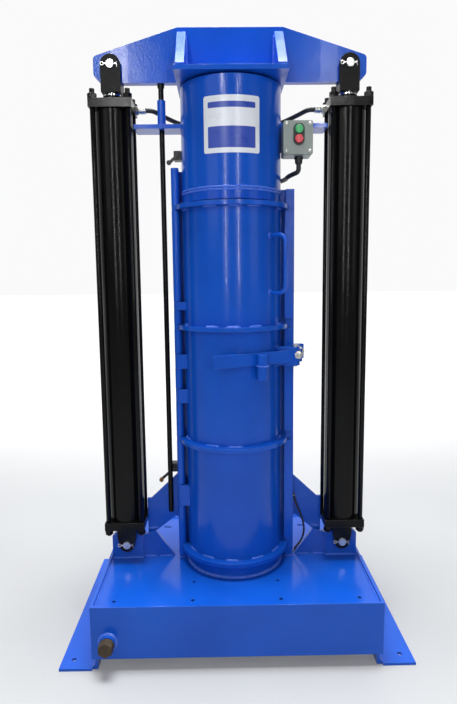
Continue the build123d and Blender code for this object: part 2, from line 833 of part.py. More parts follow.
with BuildPart() as box_lid:
    block(box_left, box_right, lid_front, box_front, box_bottom, box_top)
    fillet(box_lid.edges().filter_by(Axis.Y), box_corner)
    for screw_x in (box_left + screw_inset, box_right - screw_inset):
        for screw_z in (box_bottom + screw_inset, box_top - screw_inset):
            along_y(screw_radius, screw_x, screw_z, lid_front - screw_stand, lid_front)
    for button_side in (-1, 1):
        hole_z = bezel_z + button_side * button_pitch / 2
        along_y(button_radius + button_clearance, bezel_x, hole_z, lid_front, box_front, Mode.SUBTRACT)
finish(box_lid, "box_lid")

with BuildPart() as button_bezel:
    bezel_sides = (bezel_x - bezel_half_width, bezel_x + bezel_half_width)
    block(*bezel_sides, bezel_front, lid_front, bezel_z - bezel_half_height, bezel_z + bezel_half_height)
    fillet(button_bezel.edges().filter_by(Axis.Y), bezel_half_width - 0.5)
    for button_side in (-1, 1):
        hole_z = bezel_z + button_side * button_pitch / 2
        along_y(button_radius + button_clearance, bezel_x, hole_z, bezel_front, lid_front, Mode.SUBTRACT)
finish(button_bezel, "button_bezel")

for button_name, button_side in (("green", 1), ("red", -1)):
    button_z = bezel_z + button_side * button_pitch / 2
    with BuildPart() as button:
        along_y(button_radius, bezel_x, button_z, bezel_front - button_stand, lid_front + button_tail)
        chamfer(button.edges().filter_by(GeomType.CIRCLE).group_by(Axis.Y)[0], 1.2)
    finish(button, f"{button_name}_button")

box_middle = (box_front + bar_front) / 2
gland_bottom = box_bottom - gland_drop
cable_points = [
    (gland_x, box_middle, gland_bottom - 6),
    (gland_x, box_middle, gland_bottom - 27),
    (gland_x - 26, box_middle + 34, gland_bottom - 34),
    (tube_radius + 17, 46, gland_bottom - 34),
    (133, 104, gland_bottom - 34),
    (88, 146, gland_bottom - 34),
    (46, 168, gland_bottom - 34),
]
with BuildPart() as box_gland:
    upright(cable_gland_radius, gland_x, box_middle, gland_bottom, box_bottom)
    upright(cable_gland_radius - 3, gland_x, box_middle, gland_bottom - 6, gland_bottom)
finish(box_gland, "box_gland")

with BuildPart() as control_cable:
    with BuildLine() as cable_route:
        FilletPolyline(*cable_points, radius=bend_radii(cable_points))
    with BuildSketch(Plane(cable_route.line @ 0, z_dir=cable_route.line % 0)):
        Circle(cable_radius)
    sweep()
finish(control_cable, "control_cable")

# ---------------------------------------------------------------- limit switches
switch_places = (
    ("upper", upper_switch_x, upper_switch_z, upper_roller_x, upper_roller_z),
    ("lower", lower_switch_x, lower_switch_z, lower_roller_x, lower_roller_z),
)
for level, body_x, body_z, roller_x, roller_z in switch_places:
    with BuildPart() as switch_body:
        block(
            body_x - switch_half_width,
            body_x + switch_half_width,
            switch_front,
            switch_back,
            body_z - switch_half_height,
            body_z + switch_half_height,
        )
        fillet(switch_body.edges().filter_by(Axis.Y), 2)
        foot_y = (jamb_back, switch_back) if level == "lower" else (switch_front + 8, switch_back - 8)
        block(body_x, -jamb_web_inner, *foot_y, body_z - 8, body_z + 8)
        upright(tube_radius, 0, 0, body_z - 20, body_z + 20, Mode.SUBTRACT)
    finish(switch_body, f"{level}_switch_body")

    reach = Vector(roller_x - body_x, roller_z - body_z)
    arm_side = Vector(-reach.Y, reach.X).normalized() * arm_half_width
    with BuildPart() as switch_arm:
        arm_back = switch_front - switch_gap
        with BuildSketch(Plane.XZ.offset(-arm_back)):
            with Locations((body_x, body_z), (roller_x, roller_z)):
                Circle(arm_half_width)
            Polygon(
                (body_x + arm_side.X, body_z + arm_side.Y),
                (roller_x + arm_side.X, roller_z + arm_side.Y),
                (roller_x - arm_side.X, roller_z - arm_side.Y),
                (body_x - arm_side.X, body_z - arm_side.Y),
            )
        extrude(amount=arm_thickness)
        along_y(roller_radius, roller_x, roller_z, arm_back - arm_thickness - roller_length, arm_back - arm_thickness)
    finish(switch_arm, f"{level}_switch_arm")

# ---------------------------------------------------------------- hydraulic lines behind the chamber
with BuildPart() as tee_block:
    tee_low = hose_z - tee_half_height
    tee_high = hose_z + tee_half_height
    block(-tee_half_width, tee_half_width, tube_bore, tee_back, tee_low, tee_high)
    upright(tube_radius, 0, 0, tee_low, tee_high, Mode.SUBTRACT)
    along_y(supply_stub_radius, 0, hose_z, tee_back, tee_back + supply_stub_length)
    stub_face = tee_back + supply_stub_length
    along_y(supply_bore, 0, hose_z, stub_face - supply_depth, stub_face, Mode.SUBTRACT)
finish(tee_block, "tee_block")

with BuildPart() as hose_fittings:
    for side in (-1, 1):
        cap_face = side * (cylinder_x - cap_half)
        along_x(fitting_radius, port_y, port_z, cap_face, cap_face - side * fitting_length)
        tee_side = side * tee_half_width
        tee_y = (tube_radius + tee_back) / 2 + 4
        along_x(fitting_radius, tee_y, hose_z, tee_side, tee_side + side * fitting_length / 2)
finish(hose_fittings, "hose_fittings")

for side_name, side in (("left", -1), ("right", 1)):
    hose_start = cylinder_x - cap_half - fitting_length
    hose_end = tee_half_width + fitting_length / 2
    hose_points = [
        (side * hose_start, port_y, port_z),
        (side * (hose_start - 28), port_y, port_z),
        (side * (hose_start - 62), port_y + 34, port_z - 10),
        (side * (hose_start - 98), port_y + 82, port_z - 16),
        (side * (hose_start - 142), port_y + 124, port_z - 18),
        (side * (hose_end + 36), tee_y, hose_z),
        (side * hose_end, tee_y, hose_z),
    ]
    radii = bend_radii(hose_points)
    print(side_name, "hose bend radii", [round(r) for r in radii])
    with BuildPart() as hose:
        with BuildLine() as hose_route:
            FilletPolyline(*hose_points, radius=radii)
        with BuildSketch(Plane(hose_route.line @ 0, z_dir=hose_route.line % 0)):
            Circle(hose_radius)
        sweep()
    finish(hose, f"{side_name}_hose")
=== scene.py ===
# %% [markdown]
# # A hydraulic crusher in blue enamel
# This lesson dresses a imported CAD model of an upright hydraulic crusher. The steel shapes come from the CAD
# model and stay as they are. Blender adds what a drawing leaves out: weld beads, threads, split pins, slotted
# screws, crimped hose ends and a label, and finishes with the gloss, grain and small faults of the real ones.
# Everything is in metres and in the frame of the CAD model: the floor is z = 0, the crushing chamber stands
# on the Z axis, and its door faces -Y.

# %% Load the frame
import json
import random
from math import asin, cos, degrees, pi, radians, sin, sqrt, tan

import bmesh
import bpy
from mathutils import Matrix, Vector


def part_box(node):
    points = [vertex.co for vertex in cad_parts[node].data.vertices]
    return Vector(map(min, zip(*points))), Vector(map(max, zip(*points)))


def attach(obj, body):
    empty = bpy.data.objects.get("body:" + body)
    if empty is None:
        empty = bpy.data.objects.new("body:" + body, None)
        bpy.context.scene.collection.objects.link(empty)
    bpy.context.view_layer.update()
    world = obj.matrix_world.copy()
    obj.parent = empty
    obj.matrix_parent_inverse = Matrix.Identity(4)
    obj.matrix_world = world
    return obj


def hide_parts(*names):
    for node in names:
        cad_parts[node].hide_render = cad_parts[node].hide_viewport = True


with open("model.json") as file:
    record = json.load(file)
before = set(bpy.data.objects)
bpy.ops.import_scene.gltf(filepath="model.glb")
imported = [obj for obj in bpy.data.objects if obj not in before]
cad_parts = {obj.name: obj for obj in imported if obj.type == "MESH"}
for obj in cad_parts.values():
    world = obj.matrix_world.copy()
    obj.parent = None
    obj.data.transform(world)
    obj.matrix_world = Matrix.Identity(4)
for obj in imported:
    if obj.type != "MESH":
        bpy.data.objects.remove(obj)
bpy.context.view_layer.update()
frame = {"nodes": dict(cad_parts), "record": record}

MM = 0.001
nodes = frame["nodes"]

# %% [markdown]
# ## Camera
# The view is from the front, a little above the middle of the machine and tipped down by seven and a half
# degrees, as a person would hold a camera at chest height. A camera's matrix has its right, up and backward
# directions as columns, so the three small angles are turned into those directions once.
# There is no free cord to lay out here: the machine holds its hoses and its control cable all the way.

# %% Camera
CAMERA_PLACE = Vector((-0.0357, -1.7842, 1.1054))
CAMERA_DOWN = radians(7.5)
CAMERA_SIDE = radians(0.7)
CAMERA_ROLL = radians(0.6)
SENSOR_HEIGHT = 36.0
FOCAL_SHARE = 560 / 704  # the focal length as a share of the picture's height

forward = Vector((sin(CAMERA_SIDE) * cos(CAMERA_DOWN), cos(CAMERA_SIDE) * cos(CAMERA_DOWN),
                  -sin(CAMERA_DOWN)))
level = Vector((cos(CAMERA_SIDE), -sin(CAMERA_SIDE), 0))
below = forward.cross(level)
right = level * cos(CAMERA_ROLL) + below * sin(CAMERA_ROLL)
up = right.cross(forward)
camera_data = bpy.data.cameras.new("camera")
camera_data.sensor_fit = "VERTICAL"
camera_data.sensor_height = SENSOR_HEIGHT
camera_data.lens = SENSOR_HEIGHT * FOCAL_SHARE
camera = bpy.data.objects.new("camera", camera_data)
camera.matrix_world = Matrix.Translation(CAMERA_PLACE) @ Matrix((right, up, -forward)).transposed().to_4x4()
bpy.context.scene.collection.objects.link(camera)
bpy.context.scene.camera = camera
print("camera lens", round(camera_data.lens, 2), "mm")

# %% [markdown]
# ## Colours and shader nodes
# A colour is written as sRGB hex text, as a paint chart gives it, but a shader works in linear light, so one
# function turns the text into linear numbers. Another adds a node: it sets the node's own properties, then
# fills each input with a constant or a link. A Mix node keeps hidden sockets of the same name for its other
# kinds of data, so sockets are found by name among those in use.

# %% Helpers for materials
def linear(hex_text, alpha=1.0):
    """An sRGB hex colour as a linear RGBA colour."""
    parts = [int(hex_text[i:i + 2], 16) / 255 for i in (1, 3, 5)]
    return tuple([c / 12.92 if c <= 0.04045 else ((c + 0.055) / 1.055) ** 2.4 for c in parts] + [alpha])


def socket(sockets, key):
    """The socket at an index, or the one in use that has that name."""
    if isinstance(key, int):
        return sockets[key]
    return next(one for one in sockets if one.name == key and one.enabled)


def add(material, kind, inputs=None, out=0, **settings):
    """Adds a node with its settings and inputs, and returns the output that is asked for."""
    made = material.node_tree.nodes.new(kind)
    for key, value in settings.items():
        setattr(made, key, value)
    for key, value in (inputs or {}).items():
        if isinstance(value, bpy.types.NodeSocket):
            material.node_tree.links.new(value, socket(made.inputs, key))
        else:
            socket(made.inputs, key).default_value = value
    return socket(made.outputs, out) if len(made.outputs) else made


def started(name):
    """A new material with an empty node tree, and the place of each point on the object at rest."""
    material = bpy.data.materials.new(name)
    material.use_nodes = True
    material.node_tree.nodes.clear()
    return material, add(material, "ShaderNodeTexCoord", out="Object")


def surfaced(material, **inputs):
    """Ends a material with a Principled shader; an underscore in a keyword stands for a space."""
    named = {key.replace("_", " "): value for key, value in inputs.items()}
    shader = add(material, "ShaderNodeBsdfPrincipled", named)
    add(material, "ShaderNodeOutputMaterial", {"Surface": shader})
    return material


def per_metre(size_mm):
    """The texture scale whose features are about this many millimetres wide."""
    return 1000.0 / size_mm


print("a mid blue in linear light:", [round(c, 3) for c in linear("#2850B0")])

# %% [markdown]
# ## Gloss enamel
# The frame is sprayed with gloss alkyd enamel, and so are the cylinders, in black. Sprayed enamel never dries
# flat: orange peel, waves a few millimetres across, breaks a lamp's reflection into bright specks, and the
# coat's thickness drifts over longer distances. Edges are painted paler: partly paint that draws back from
# sharp edges and is rubbed there, and partly a painted highlight along each edge. A Bevel node rounds each
# edge for the light, and the angle by which it turns the normal also finds the edges for the paler colour. On
# the weld beads, pale specks a few millimetres across and pale edges are painted glints. Enamel has an IOR
# near
# 1.5 and a low roughness, and a film of dust makes it a little duller in places. Orange peel is drawn as
# shallow as it really is, so it shows only in gloss.

# %% Gloss enamel, blue and black
def sprayed_enamel(name, deep, pale, edge_wear_and_highlight_hex, rough, peel_mm, peel_height_mm, edge_mm, edge_wear_and_highlight_share,
                   tone_and_glint_mm=180, clear=0.12, shine=0.22):
    """Gloss paint with an uneven coat, orange peel, dust, and paler edges of rubbed paint and painted
    highlight.
    """
    paint, place = started(name)
    # On plates this noise is the coat's slow drift in tone; on welds it lays pale specks that are painted
    # glints.
    tone_and_glint_noise = add(paint, "ShaderNodeTexNoise", {"Vector": place, "Scale": per_metre(tone_and_glint_mm), "Detail": 3.0})
    peel = add(paint, "ShaderNodeTexNoise", {"Vector": place, "Scale": per_metre(peel_mm), "Detail": 2.5})
    drift = add(paint, "ShaderNodeTexNoise", {"Vector": place, "Scale": per_metre(55), "Detail": 1.0})
    dust = add(paint, "ShaderNodeTexNoise", {"Vector": place, "Scale": per_metre(30), "Detail": 6.0})
    eased = add(paint, "ShaderNodeBevel", {"Radius": edge_mm * MM}, samples=6)
    true_normal = add(paint, "ShaderNodeNewGeometry", out="Normal")
    # The edge mask: edges are painted paler, partly as rubbed paint and partly as a painted highlight.
    agree = add(paint, "ShaderNodeVectorMath", {0: eased, 1: true_normal}, out="Value",
                operation="DOT_PRODUCT")
    edge = add(paint, "ShaderNodeMapRange", {"Value": agree, "From Min": 0.995, "From Max": 0.88,
               "To Min": 0.0, "To Max": edge_wear_and_highlight_share})
    tone_and_glint_colour = add(paint, "ShaderNodeMix", {"Factor": tone_and_glint_noise, "A": linear(deep), "B": linear(pale)},
               out="Result", data_type="RGBA")
    colour = add(paint, "ShaderNodeMix", {"Factor": edge, "A": tone_and_glint_colour, "B": linear(edge_wear_and_highlight_hex)},
                 out="Result", data_type="RGBA")
    dull = add(paint, "ShaderNodeMapRange", {"Value": dust, "From Min": 0.35, "From Max": 0.75,
               "To Min": rough, "To Max": rough + 0.10})
    long_wave = add(paint, "ShaderNodeBump", {"Height": drift, "Distance": 0.9 * MM, "Strength": 0.3,
                    "Normal": eased})
    bump = add(paint, "ShaderNodeBump", {"Height": peel, "Distance": peel_height_mm * MM, "Strength": 0.8,
               "Normal": long_wave})
    return surfaced(paint, Base_Color=colour, Roughness=dull, IOR=1.5, Specular_IOR_Level=shine,
                    Coat_Weight=clear, Coat_Roughness=0.04, Normal=bump)


blue_enamel = sprayed_enamel("blue_gloss_enamel", "#0B45AA", "#135ACC", "#4A80DC", 0.15, 6.0, 0.42, 1.5, 0.55)
black_enamel = sprayed_enamel("black_gloss_enamel", "#070708", "#0E0E0E", "#6A665E", 0.14, 4.0, 0.16, 1.2,
                              0.4, clear=0.0, shine=0.16)
# The weld beads' pale specks and pale edges are painted glints, standing in for lamps caught on the ripples.
weld_enamel_painted_glints = sprayed_enamel("blue_enamel_over_weld_painted_glints", "#174AC0", "#5C86E2", "#A6C0F4", 0.12, 2.6, 0.5, 0.5,
                             0.7, tone_and_glint_mm=5)
print("enamels:", blue_enamel.name, black_enamel.name, weld_enamel_painted_glints.name)

# %% [markdown]
# ## Bare, plated and cast metals
# The pins, the stud and the nuts are zinc plated: a bright bluish grey with a fine cloudy spangle and a faint
# straw tint from the passivation. The piston rods are hard chrome, ground and polished round the rod, so
# their highlight is sharp. The anvil and the ram's face are bare steel, scuffed by every can they crush. The
# rod clevises are sand-cast iron with black paint, so their skin is pebbly. The plug is unpainted malleable
# iron, brown with rust. A metal's colour is its reflection, and its IOR is left at the default.

# %% Metals
def metal(name, dark, light, cloud_mm, rough, rough_spread, grain_mm=(1, 1, 1), grain_height_mm=0.02):
    """Bare or plated metal: a cloudy colour, an uneven gloss and a directional grain."""
    steel, place = started(name)
    cloud = add(steel, "ShaderNodeTexNoise", {"Vector": place, "Scale": per_metre(cloud_mm), "Detail": 5.0})
    grain_scale = [per_metre(size) for size in grain_mm]
    along = add(steel, "ShaderNodeMapping", {"Vector": place, "Scale": grain_scale})
    grain = add(steel, "ShaderNodeTexNoise", {"Vector": along, "Scale": 1.0, "Detail": 4.0})
    colour = add(steel, "ShaderNodeMix", {"Factor": cloud, "A": linear(dark), "B": linear(light)},
                 out="Result", data_type="RGBA")
    gloss = add(steel, "ShaderNodeMapRange", {"Value": grain, "From Min": 0.3, "From Max": 0.7,
                "To Min": rough, "To Max": rough + rough_spread})
    eased = add(steel, "ShaderNodeBevel", {"Radius": 0.6 * MM}, samples=4)
    bump = add(steel, "ShaderNodeBump", {"Height": grain, "Distance": grain_height_mm * MM, "Strength": 0.4,
               "Normal": eased})
    return surfaced(steel, Base_Color=colour, Metallic=1.0, Roughness=gloss, Normal=bump)


zinc_plate = metal("zinc_plated_steel", "#A9ABA6", "#DCDDD8", 9, 0.24, 0.16, (1.2, 1.2, 1.2), 0.03)
hard_chrome = metal("hard_chrome_ground_round", "#C4C6C9", "#DADBDD", 60, 0.06, 0.06, (40, 40, 0.8), 0.004)
scuffed_steel = metal("bare_steel_scuffed", "#5E5C58", "#8E8B85", 22, 0.30, 0.25, (3, 30, 3), 0.05)
worn_brass = metal("brass_worn_roller", "#6E4526", "#A4703E", 5, 0.30, 0.18, (1, 8, 1), 0.03)


def cast_iron(name, dark, light, pebble_mm, pebble_height_mm, rough):
    """A sand-cast skin: rounded pebbles in the bump and slow patches in the colour."""
    iron, place = started(name)
    pebble = add(iron, "ShaderNodeTexVoronoi", {"Vector": place, "Scale": per_metre(pebble_mm)},
                 out="Distance", feature="SMOOTH_F1")
    patch = add(iron, "ShaderNodeTexNoise", {"Vector": place, "Scale": per_metre(14), "Detail": 5.0})
    colour = add(iron, "ShaderNodeMix", {"Factor": patch, "A": linear(dark), "B": linear(light)},
                 out="Result", data_type="RGBA")
    gloss = add(iron, "ShaderNodeMapRange", {"Value": patch, "To Min": rough, "To Max": rough + 0.2})
    eased = add(iron, "ShaderNodeBevel", {"Radius": 2.0 * MM}, samples=4)
    bump = add(iron, "ShaderNodeBump", {"Height": pebble, "Distance": pebble_height_mm * MM, "Strength": 0.8,
               "Normal": eased})
    return surfaced(iron, Base_Color=colour, Roughness=gloss, IOR=1.5, Specular_IOR_Level=0.14, Normal=bump)


black_casting = cast_iron("black_painted_sand_casting", "#0A0A0B", "#1B1B1C", 3.2, 0.7, 0.28)
rusty_iron = cast_iron("malleable_iron_rusted", "#2A251F", "#564B3C", 2.0, 0.4, 0.5)
metals = (zinc_plate, hard_chrome, scuffed_steel, worn_brass, black_casting, rusty_iron)
print("metals:", [one.name for one in metals])

# %% [markdown]
# ## Box, plastics and rubber
# The control box is a die casting in grey polyester powder coat, whose fine texture hides fingerprints: it
# is satin, with a pebble of about a millimetre. The bezel, the gland and the limit switches are moulded black
# nylon, satin with a spark-eroded grain. The buttons are glossy moulded acetal in signal green and red. The
# hoses have a wrapped rubber cover, and its cloth wrap leaves a fine diagonal weave in the skin. The wrap's
# real spacing is about 1.5 mm, and it is drawn at 2.5 mm so that it shows.

# %% Box, plastics and rubber
def moulded(name, base, patch_hex, grain_mm, grain_height_mm, rough, ior, edge_mm=0.8):
    """A plastic or powder-coated skin: a fine grain in the bump and slow patches in the colour."""
    skin, place = started(name)
    grain = add(skin, "ShaderNodeTexNoise", {"Vector": place, "Scale": per_metre(grain_mm), "Detail": 3.0})
    patch = add(skin, "ShaderNodeTexNoise", {"Vector": place, "Scale": per_metre(35), "Detail": 4.0})
    colour = add(skin, "ShaderNodeMix", {"Factor": patch, "A": linear(base), "B": linear(patch_hex)},
                 out="Result", data_type="RGBA")
    gloss = add(skin, "ShaderNodeMapRange", {"Value": patch, "To Min": rough - 0.06, "To Max": rough + 0.08})
    eased = add(skin, "ShaderNodeBevel", {"Radius": edge_mm * MM}, samples=4)
    bump = add(skin, "ShaderNodeBump", {"Height": grain, "Distance": grain_height_mm * MM, "Strength": 0.6,
               "Normal": eased})
    return surfaced(skin, Base_Color=colour, Roughness=gloss, IOR=ior, Normal=bump)


grey_powder_coat = moulded("grey_polyester_powder_coat", "#7C8783", "#8B9591", 1.1, 0.12, 0.42, 1.5, 1.5)
black_nylon = moulded("black_moulded_nylon", "#141415", "#242425", 0.9, 0.08, 0.45, 1.53)
green_acetal = moulded("green_moulded_acetal", "#2E9A58", "#49B070", 2.5, 0.03, 0.22, 1.48, 1.2)
red_acetal = moulded("red_moulded_acetal", "#C23A44", "#D8525A", 2.5, 0.03, 0.22, 1.48, 1.2)
label_white = moulded("white_vinyl_label", "#D3D9E3", "#E1E5EC", 6.0, 0.03, 0.28, 1.46, 0.3)
label_blue = moulded("blue_printed_vinyl", "#2440A0", "#2B49AE", 6.0, 0.03, 0.28, 1.46, 0.3)


WEAVE_MM = 2.5
WAVE_PERIOD = 20  # a Wave texture repeats this many times as often as its scale says


def wrapped_rubber(name):
    """Hose cover: one set of diagonal ridges from the cloth that wrapped it in the oven."""
    rubber, place = started(name)
    patch = add(rubber, "ShaderNodeTexNoise", {"Vector": place, "Scale": per_metre(25), "Detail": 5.0})
    colour = add(rubber, "ShaderNodeMix", {"Factor": patch, "A": linear("#0F0F10"), "B": linear("#222120")},
                 out="Result", data_type="RGBA")
    weave = {"Vector": place, "Scale": per_metre(WEAVE_MM) / WAVE_PERIOD, "Distortion": 0.4}
    wave = add(rubber, "ShaderNodeTexWave", weave, wave_type="BANDS", bands_direction="DIAGONAL")
    bump = add(rubber, "ShaderNodeBump", {"Height": wave, "Distance": 0.3 * MM, "Strength": 0.6})
    return surfaced(rubber, Base_Color=colour, Roughness=0.55, IOR=1.52, Normal=bump)


wrapped_hose = wrapped_rubber("cloth_wrapped_hose_rubber")
finishes = {"blue_enamel": blue_enamel, "black_enamel": black_enamel, "cast_iron_black": black_casting,
            "zinc_steel": zinc_plate, "chrome_rod": hard_chrome, "bare_steel": scuffed_steel,
            "grey_polyester": grey_powder_coat, "black_plastic": black_nylon, "black_rubber": wrapped_hose,
            "green_lens": green_acetal, "red_lens": red_acetal, "brown_iron": rusty_iron}
for subpart in frame["record"]["subparts"]:
    materials = nodes[subpart["node"]].data.materials
    materials.clear()
    materials.append(finishes[subpart["material_slot"]])

# %% [markdown]
# ## Building pieces from rings
# Nuts, threads, screws, ferrules and weld beads all have the same logic: a ring of points moves along a line
# while it changes shape. So one function joins rings into a skin and closes its ends, and each piece only
# says what its rings are. Edges sharper than 35 degrees are kept sharp, and the rest is shaded smooth.

# %% Rings, pieces and placing
def skin(rings, capped=True):
    """Points and faces of a closed skin through rings of the same number of points."""
    count = len(rings[0])
    points = [point for ring in rings for point in ring]
    faces = []
    for row in range(len(rings) - 1):
        low, high = row * count, (row + 1) * count
        faces += [(low + k, low + (k + 1) % count, high + (k + 1) % count, high + k) for k in range(count)]
    if capped:
        faces.append(tuple(reversed(range(count))))
        faces.append(tuple(range((len(rings) - 1) * count, len(rings) * count)))
    return points, faces


def circle(radius, height, segments=40):
    """A ring of points around the local Z axis, in metres from millimetres."""
    return [Vector((radius * cos(2 * pi * k / segments), radius * sin(2 * pi * k / segments), height)) * MM
            for k in range(segments)]


def turned(profile, segments=40):
    """A lathe-turned skin from (radius, height) pairs in millimetres."""
    return skin([circle(radius, height, segments) for radius, height in profile])


def stand(place, axis=(0, 0, 1), turn=0.0):
    """The matrix that puts a local Z axis at a place in millimetres, along an axis, turned in degrees."""
    lean = Vector((0, 0, 1)).rotation_difference(Vector(axis)).to_matrix().to_4x4()
    return Matrix.Translation(Vector(place) * MM) @ lean @ Matrix.Rotation(radians(turn), 4, "Z")


def piece(name, skins, material, body):
    """One object from (skin, matrix) pairs, shaded, in its finish and on its body."""
    points, faces = [], []
    for (some_points, some_faces), matrix in skins:
        start = len(points)
        points += [matrix @ point for point in some_points]
        faces += [tuple(start + k for k in face) for face in some_faces]
    mesh = bpy.data.meshes.new(name)
    mesh.from_pydata(points, [], faces)
    shape = bmesh.new()
    shape.from_mesh(mesh)
    bmesh.ops.recalc_face_normals(shape, faces=shape.faces)
    shape.to_mesh(mesh)
    shape.free()
    mesh.shade_smooth()
    mesh.set_sharp_from_angle(angle=radians(35))
    mesh.materials.append(material)
    made = bpy.data.objects.new(name, mesh)
    bpy.context.scene.collection.objects.link(made)
    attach(made, body)
    return made


HERE = Matrix.Identity(4)
print("a test washer has", len(turned([(6, 0), (12, 0), (12, 2), (6, 2)])[0]), "points")

# %% [markdown]
# ## Weld beads
# Every joint of the frame is a hand-laid MIG or stick weld, and the beads are what tells a welded machine
# from a moulded toy. A bead is a low half-round strip with crescent ripples, one for each small forward step
# of the welder's hand, and it swells, thins and wanders. A noise bump on a smooth strip can't give its
# outline, so here each ring of the bead is made larger or smaller by a wave along its length. The wave lags
# at the middle of the bead, which bends the ripples into crescents. A ripple is really about 2 mm long. It is
# drawn at 4.5 mm, so that it shows from where a person would stand.

# %% A helper that lays a bead
RIPPLE = 4.5
chance = random.Random(7)


def even_points(path, step):
    """Points a fixed step apart along a path in millimetres, and the path's length."""
    path = [Vector(point) for point in path]
    runs = [(later - point).length for point, later in zip(path, path[1:])]
    total = sum(runs)
    count = max(4, round(total / step))
    points, run, before = [], 0, 0.0
    for k in range(count + 1):
        want = total * k / count
        while run < len(runs) - 1 and want > before + runs[run]:
            before += runs[run]
            run += 1
        points.append(path[run].lerp(path[run + 1], (want - before) / runs[run]))
    return points, total


def bead(path, lean, width):
    """A weld bead along a path, leaning outward, with crescent ripples and tapered ends."""
    points, total = even_points(path, RIPPLE / 4)
    phase = [chance.uniform(0, 2 * pi) for _ in range(3)]
    rings = []
    for k, point in enumerate(points):
        ahead = points[min(k + 1, len(points) - 1)] - points[max(k - 1, 0)]
        outward = (lean(point) if callable(lean) else Vector(lean)).normalized()
        across = ahead.cross(outward).normalized()
        walked = total * k / (len(points) - 1)
        taper = sqrt(min(1.0, 0.2 + min(walked, total - walked) / width))
        swell = 1 + 0.07 * sin(walked / 9 + phase[0]) + 0.05 * sin(walked / 3.1 + phase[1])
        half = width / 2 * taper * swell
        middle = point + across * (0.06 * width * sin(walked / 21 + phase[2]))
        ring = []
        for j in range(10):
            angle = 2 * pi * j / 10
            ripple = 1 + 0.11 * cos(2 * pi * walked / RIPPLE + 1.6 * sin(angle))
            ring.append((middle + across * (half * cos(angle) * ripple)
                         + outward * (0.8 * half * sin(angle) * ripple)) * MM)
        rings.append(ring)
    return skin(rings), Matrix.Identity(4)


def arc(centre, radius, start, end, axis=(0, 0, 1)):
    """Points of an arc; its angle runs from the front, -Y, towards +X, in degrees."""
    lean = Vector((0, 0, 1)).rotation_difference(Vector(axis))
    count = max(2, round(abs(end - start) / 3))
    turns = [radians(start + (end - start) * k / count) for k in range(count + 1)]
    return [Vector(centre) + lean @ Vector((radius * sin(turn), -radius * cos(turn), 0)) for turn in turns]


def away(centre, lift, axis=(0, 0, 1)):
    """A lean that points away from an axis through a centre, and along the axis by a share."""
    axis = Vector(axis).normalized()

    def lean(point):
        gap = point - Vector(centre)
        return (gap - axis * gap.dot(axis)).normalized() + axis * lift
    return lean


print("a bead 50 mm long has", len(bead([(0, 0, 0), (50, 0, 0)], (0, 0, 1), 6)[0][0]), "points")

# %% [markdown]
# ## Welds of the frame
# The chamber is a length of heavy pipe in two pieces, with a double pass round its seam, and it stands on the
# deck in one thick fillet. The lugs, braces, jambs, guide bar and tee block are filleted along their edges,
# and the braces only in short stitches, which pull the plate out of true less than a full run would. Sizes
# are read from the CAD nodes, so each bead lies in its corner without being fitted by hand.

# %% Welds of the frame
def mm_box(node):
    """A node's lowest and highest corners in millimetres."""
    low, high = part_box(node)
    return low / MM, high / MM


